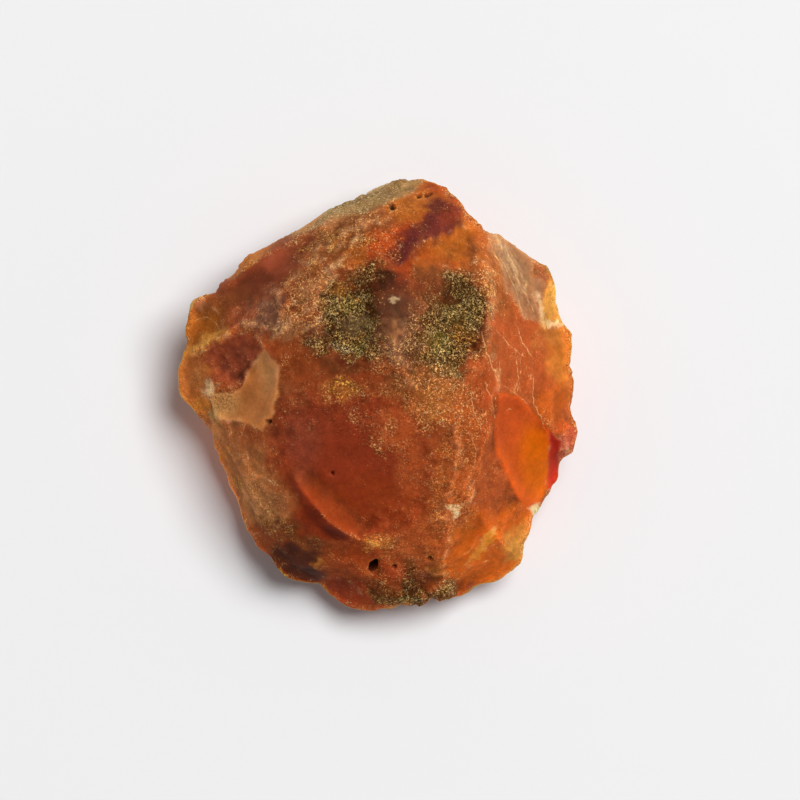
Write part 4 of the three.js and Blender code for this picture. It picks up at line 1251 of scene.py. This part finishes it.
def stone_material():
    material = bpy.data.materials.new("carnelian")
    nodes = Nodes(material, "Principled BSDF")
    dust = nodes.stored("dust")
    crust = nodes.stored("crust")
    place = nodes.add("TexCoord", {}, "Object")
    curly = place + place.noise(0.5, 1, 0.5, "Color") * CURL
    aside = curly + ASIDE

    grains = dust_grains(place, curly, aside, dust, crust)
    colour = nodes.mix(grains, uneven_tint(nodes, place, aside, dust), grain_colour(nodes, aside))
    scratches = scratch_marks(nodes, place, curly, aside)
    colour = nodes.mix(scratches, colour, (*linear("scratch gold"), 1))
    roughness = dust.ramp(*BY_DUST["roughness"]) + nodes.stored("clean") * -0.12
    uneven = place.noise(0.3, 3, 0.6) + place.noise(0.9, 3, 0.6) * 1.3
    rise = uneven * (dust * 0.8 + 0.05) + grains * 0.3
    bump = {"Height": rise, "Strength": 0.8, "Distance": BUMP_HEIGHT}

    nodes.fill(nodes.shader, {
        "Base Color": colour,
        "Roughness": roughness.at_least(crust * 0.9),
        "Normal": nodes.add("Bump", bump, "Normal"),
        # Painted glow: a faint orange emission on the far side, low down.
        "Emission Color": (*linear("bright orange"), 1),
        "Emission Strength": nodes.stored("glow") * PAINTED_GLOW_STRENGTH,
        "IOR": 1.54,
        "Specular IOR Level": 0.02,
        "Subsurface Weight": 0.5,
        "Subsurface Radius": (1.0, 0.35, 0.1),
        "Subsurface Scale": LIGHT_REACH,
    })
    return material


def make_stone():
    mesh = fine_mesh("stone")
    mesh.name = "stone_surface"
    edges = read_rows(mesh.edges, "vertices", 2, np.int32)
    write_points(mesh, wear(read_points(mesh), edges))
    points = read_points(mesh)
    normals = read_normals(mesh)
    masks = make_masks(points, normals, edges)
    carved = carve(points, normals, masks)
    write_points(mesh, carved)
    carved_normals = read_normals(mesh)
    masks.fine_relief = ridge_amount(carved, carved_normals, edges, RIDGE_SWEEPS)
    masks.broad_relief = ridge_amount(carved, carved_normals, edges, BROAD_SWEEPS)
    store(mesh, "tint", paint(points, masks))
    store(mesh, "grain", paint_grains(masks))
    store(mesh, "dust", settle_dust(points, masks))
    # The painted glow, read by the material's emission.
    store(mesh, "glow", glow(carved, carved_normals))
    for name in ["crust", "clean", "scratched", "scratch", "scratch_side"]:
        store(mesh, name, getattr(masks, name))
    mesh.shade_smooth()
    piece = put_in_scene("stone_surface", mesh)
    mesh.materials.clear()
    mesh.materials.append(stone_material())
    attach(piece, "root")
    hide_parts("stone")


# ---------------- the stage


def make_floor():
    half = FLOOR_WIDTH / 2
    mesh = bpy.data.meshes.new("floor")
    corners = [(-half, -half, 0), (half, -half, 0), (half, half, 0), (-half, half, 0)]
    mesh.from_pydata(corners, [], [(0, 1, 2, 3)])
    floor = put_in_scene("floor", mesh)
    paper = bpy.data.materials.new("paper")
    nodes = Nodes(paper, "Principled BSDF")
    nodes.fill(nodes.shader, {"Base Color": PAPER, "Roughness": 0.9, "Specular IOR Level": 0.1})
    mesh.materials.append(paper)


def make_light():
    """A round soft light that looks at the stone."""
    light = bpy.data.lights.new("window", "AREA")
    light.shape = "DISK"
    light.size = WINDOW_SIZE
    light.energy = WINDOW_ENERGY
    azimuth, elevation = (math.radians(angle) for angle in WINDOW_DIRECTION)
    flat = math.cos(elevation)
    towards = Vector((flat * math.cos(azimuth), flat * math.sin(azimuth), math.sin(elevation)))
    lamp = put_in_scene("window", light)
    lamp.location = towards * WINDOW_DISTANCE
    lamp.rotation_euler = towards.to_track_quat("Z", "Y").to_euler()


def make_world():
    """A pale room: bright walls all round, and a darker ceiling where the camera hangs."""
    world = bpy.data.worlds.new("studio")
    bpy.context.scene.world = world
    nodes = Nodes(world, "Background")
    up = nodes.add("SeparateXYZ", {0: nodes.add("TexCoord", {}, "Generated")}, "Z")
    level = {"Value": up, "To Min": WALL_BRIGHTNESS, "To Max": CEILING_BRIGHTNESS}
    strength = nodes.add("MapRange", level)
    nodes.fill(nodes.shader, {"Color": (1.0, 1.0, 1.0, 1.0), "Strength": strength})


def make_camera():
    camera = bpy.data.cameras.new("camera")
    camera.sensor_width = SENSOR_WIDTH
    camera.lens = SENSOR_WIDTH * VIEW_DISTANCE / VIEW_WIDTH_AT_STONE
    camera.clip_start = 0.01
    holder = put_in_scene("camera", camera)
    holder.location = [value * MM for value in CAMERA_AT]
    bpy.context.scene.camera = holder


make_camera()
make_world()
make_light()
make_floor()
make_stone()
bpy.context.scene.view_settings.view_transform = "Standard"
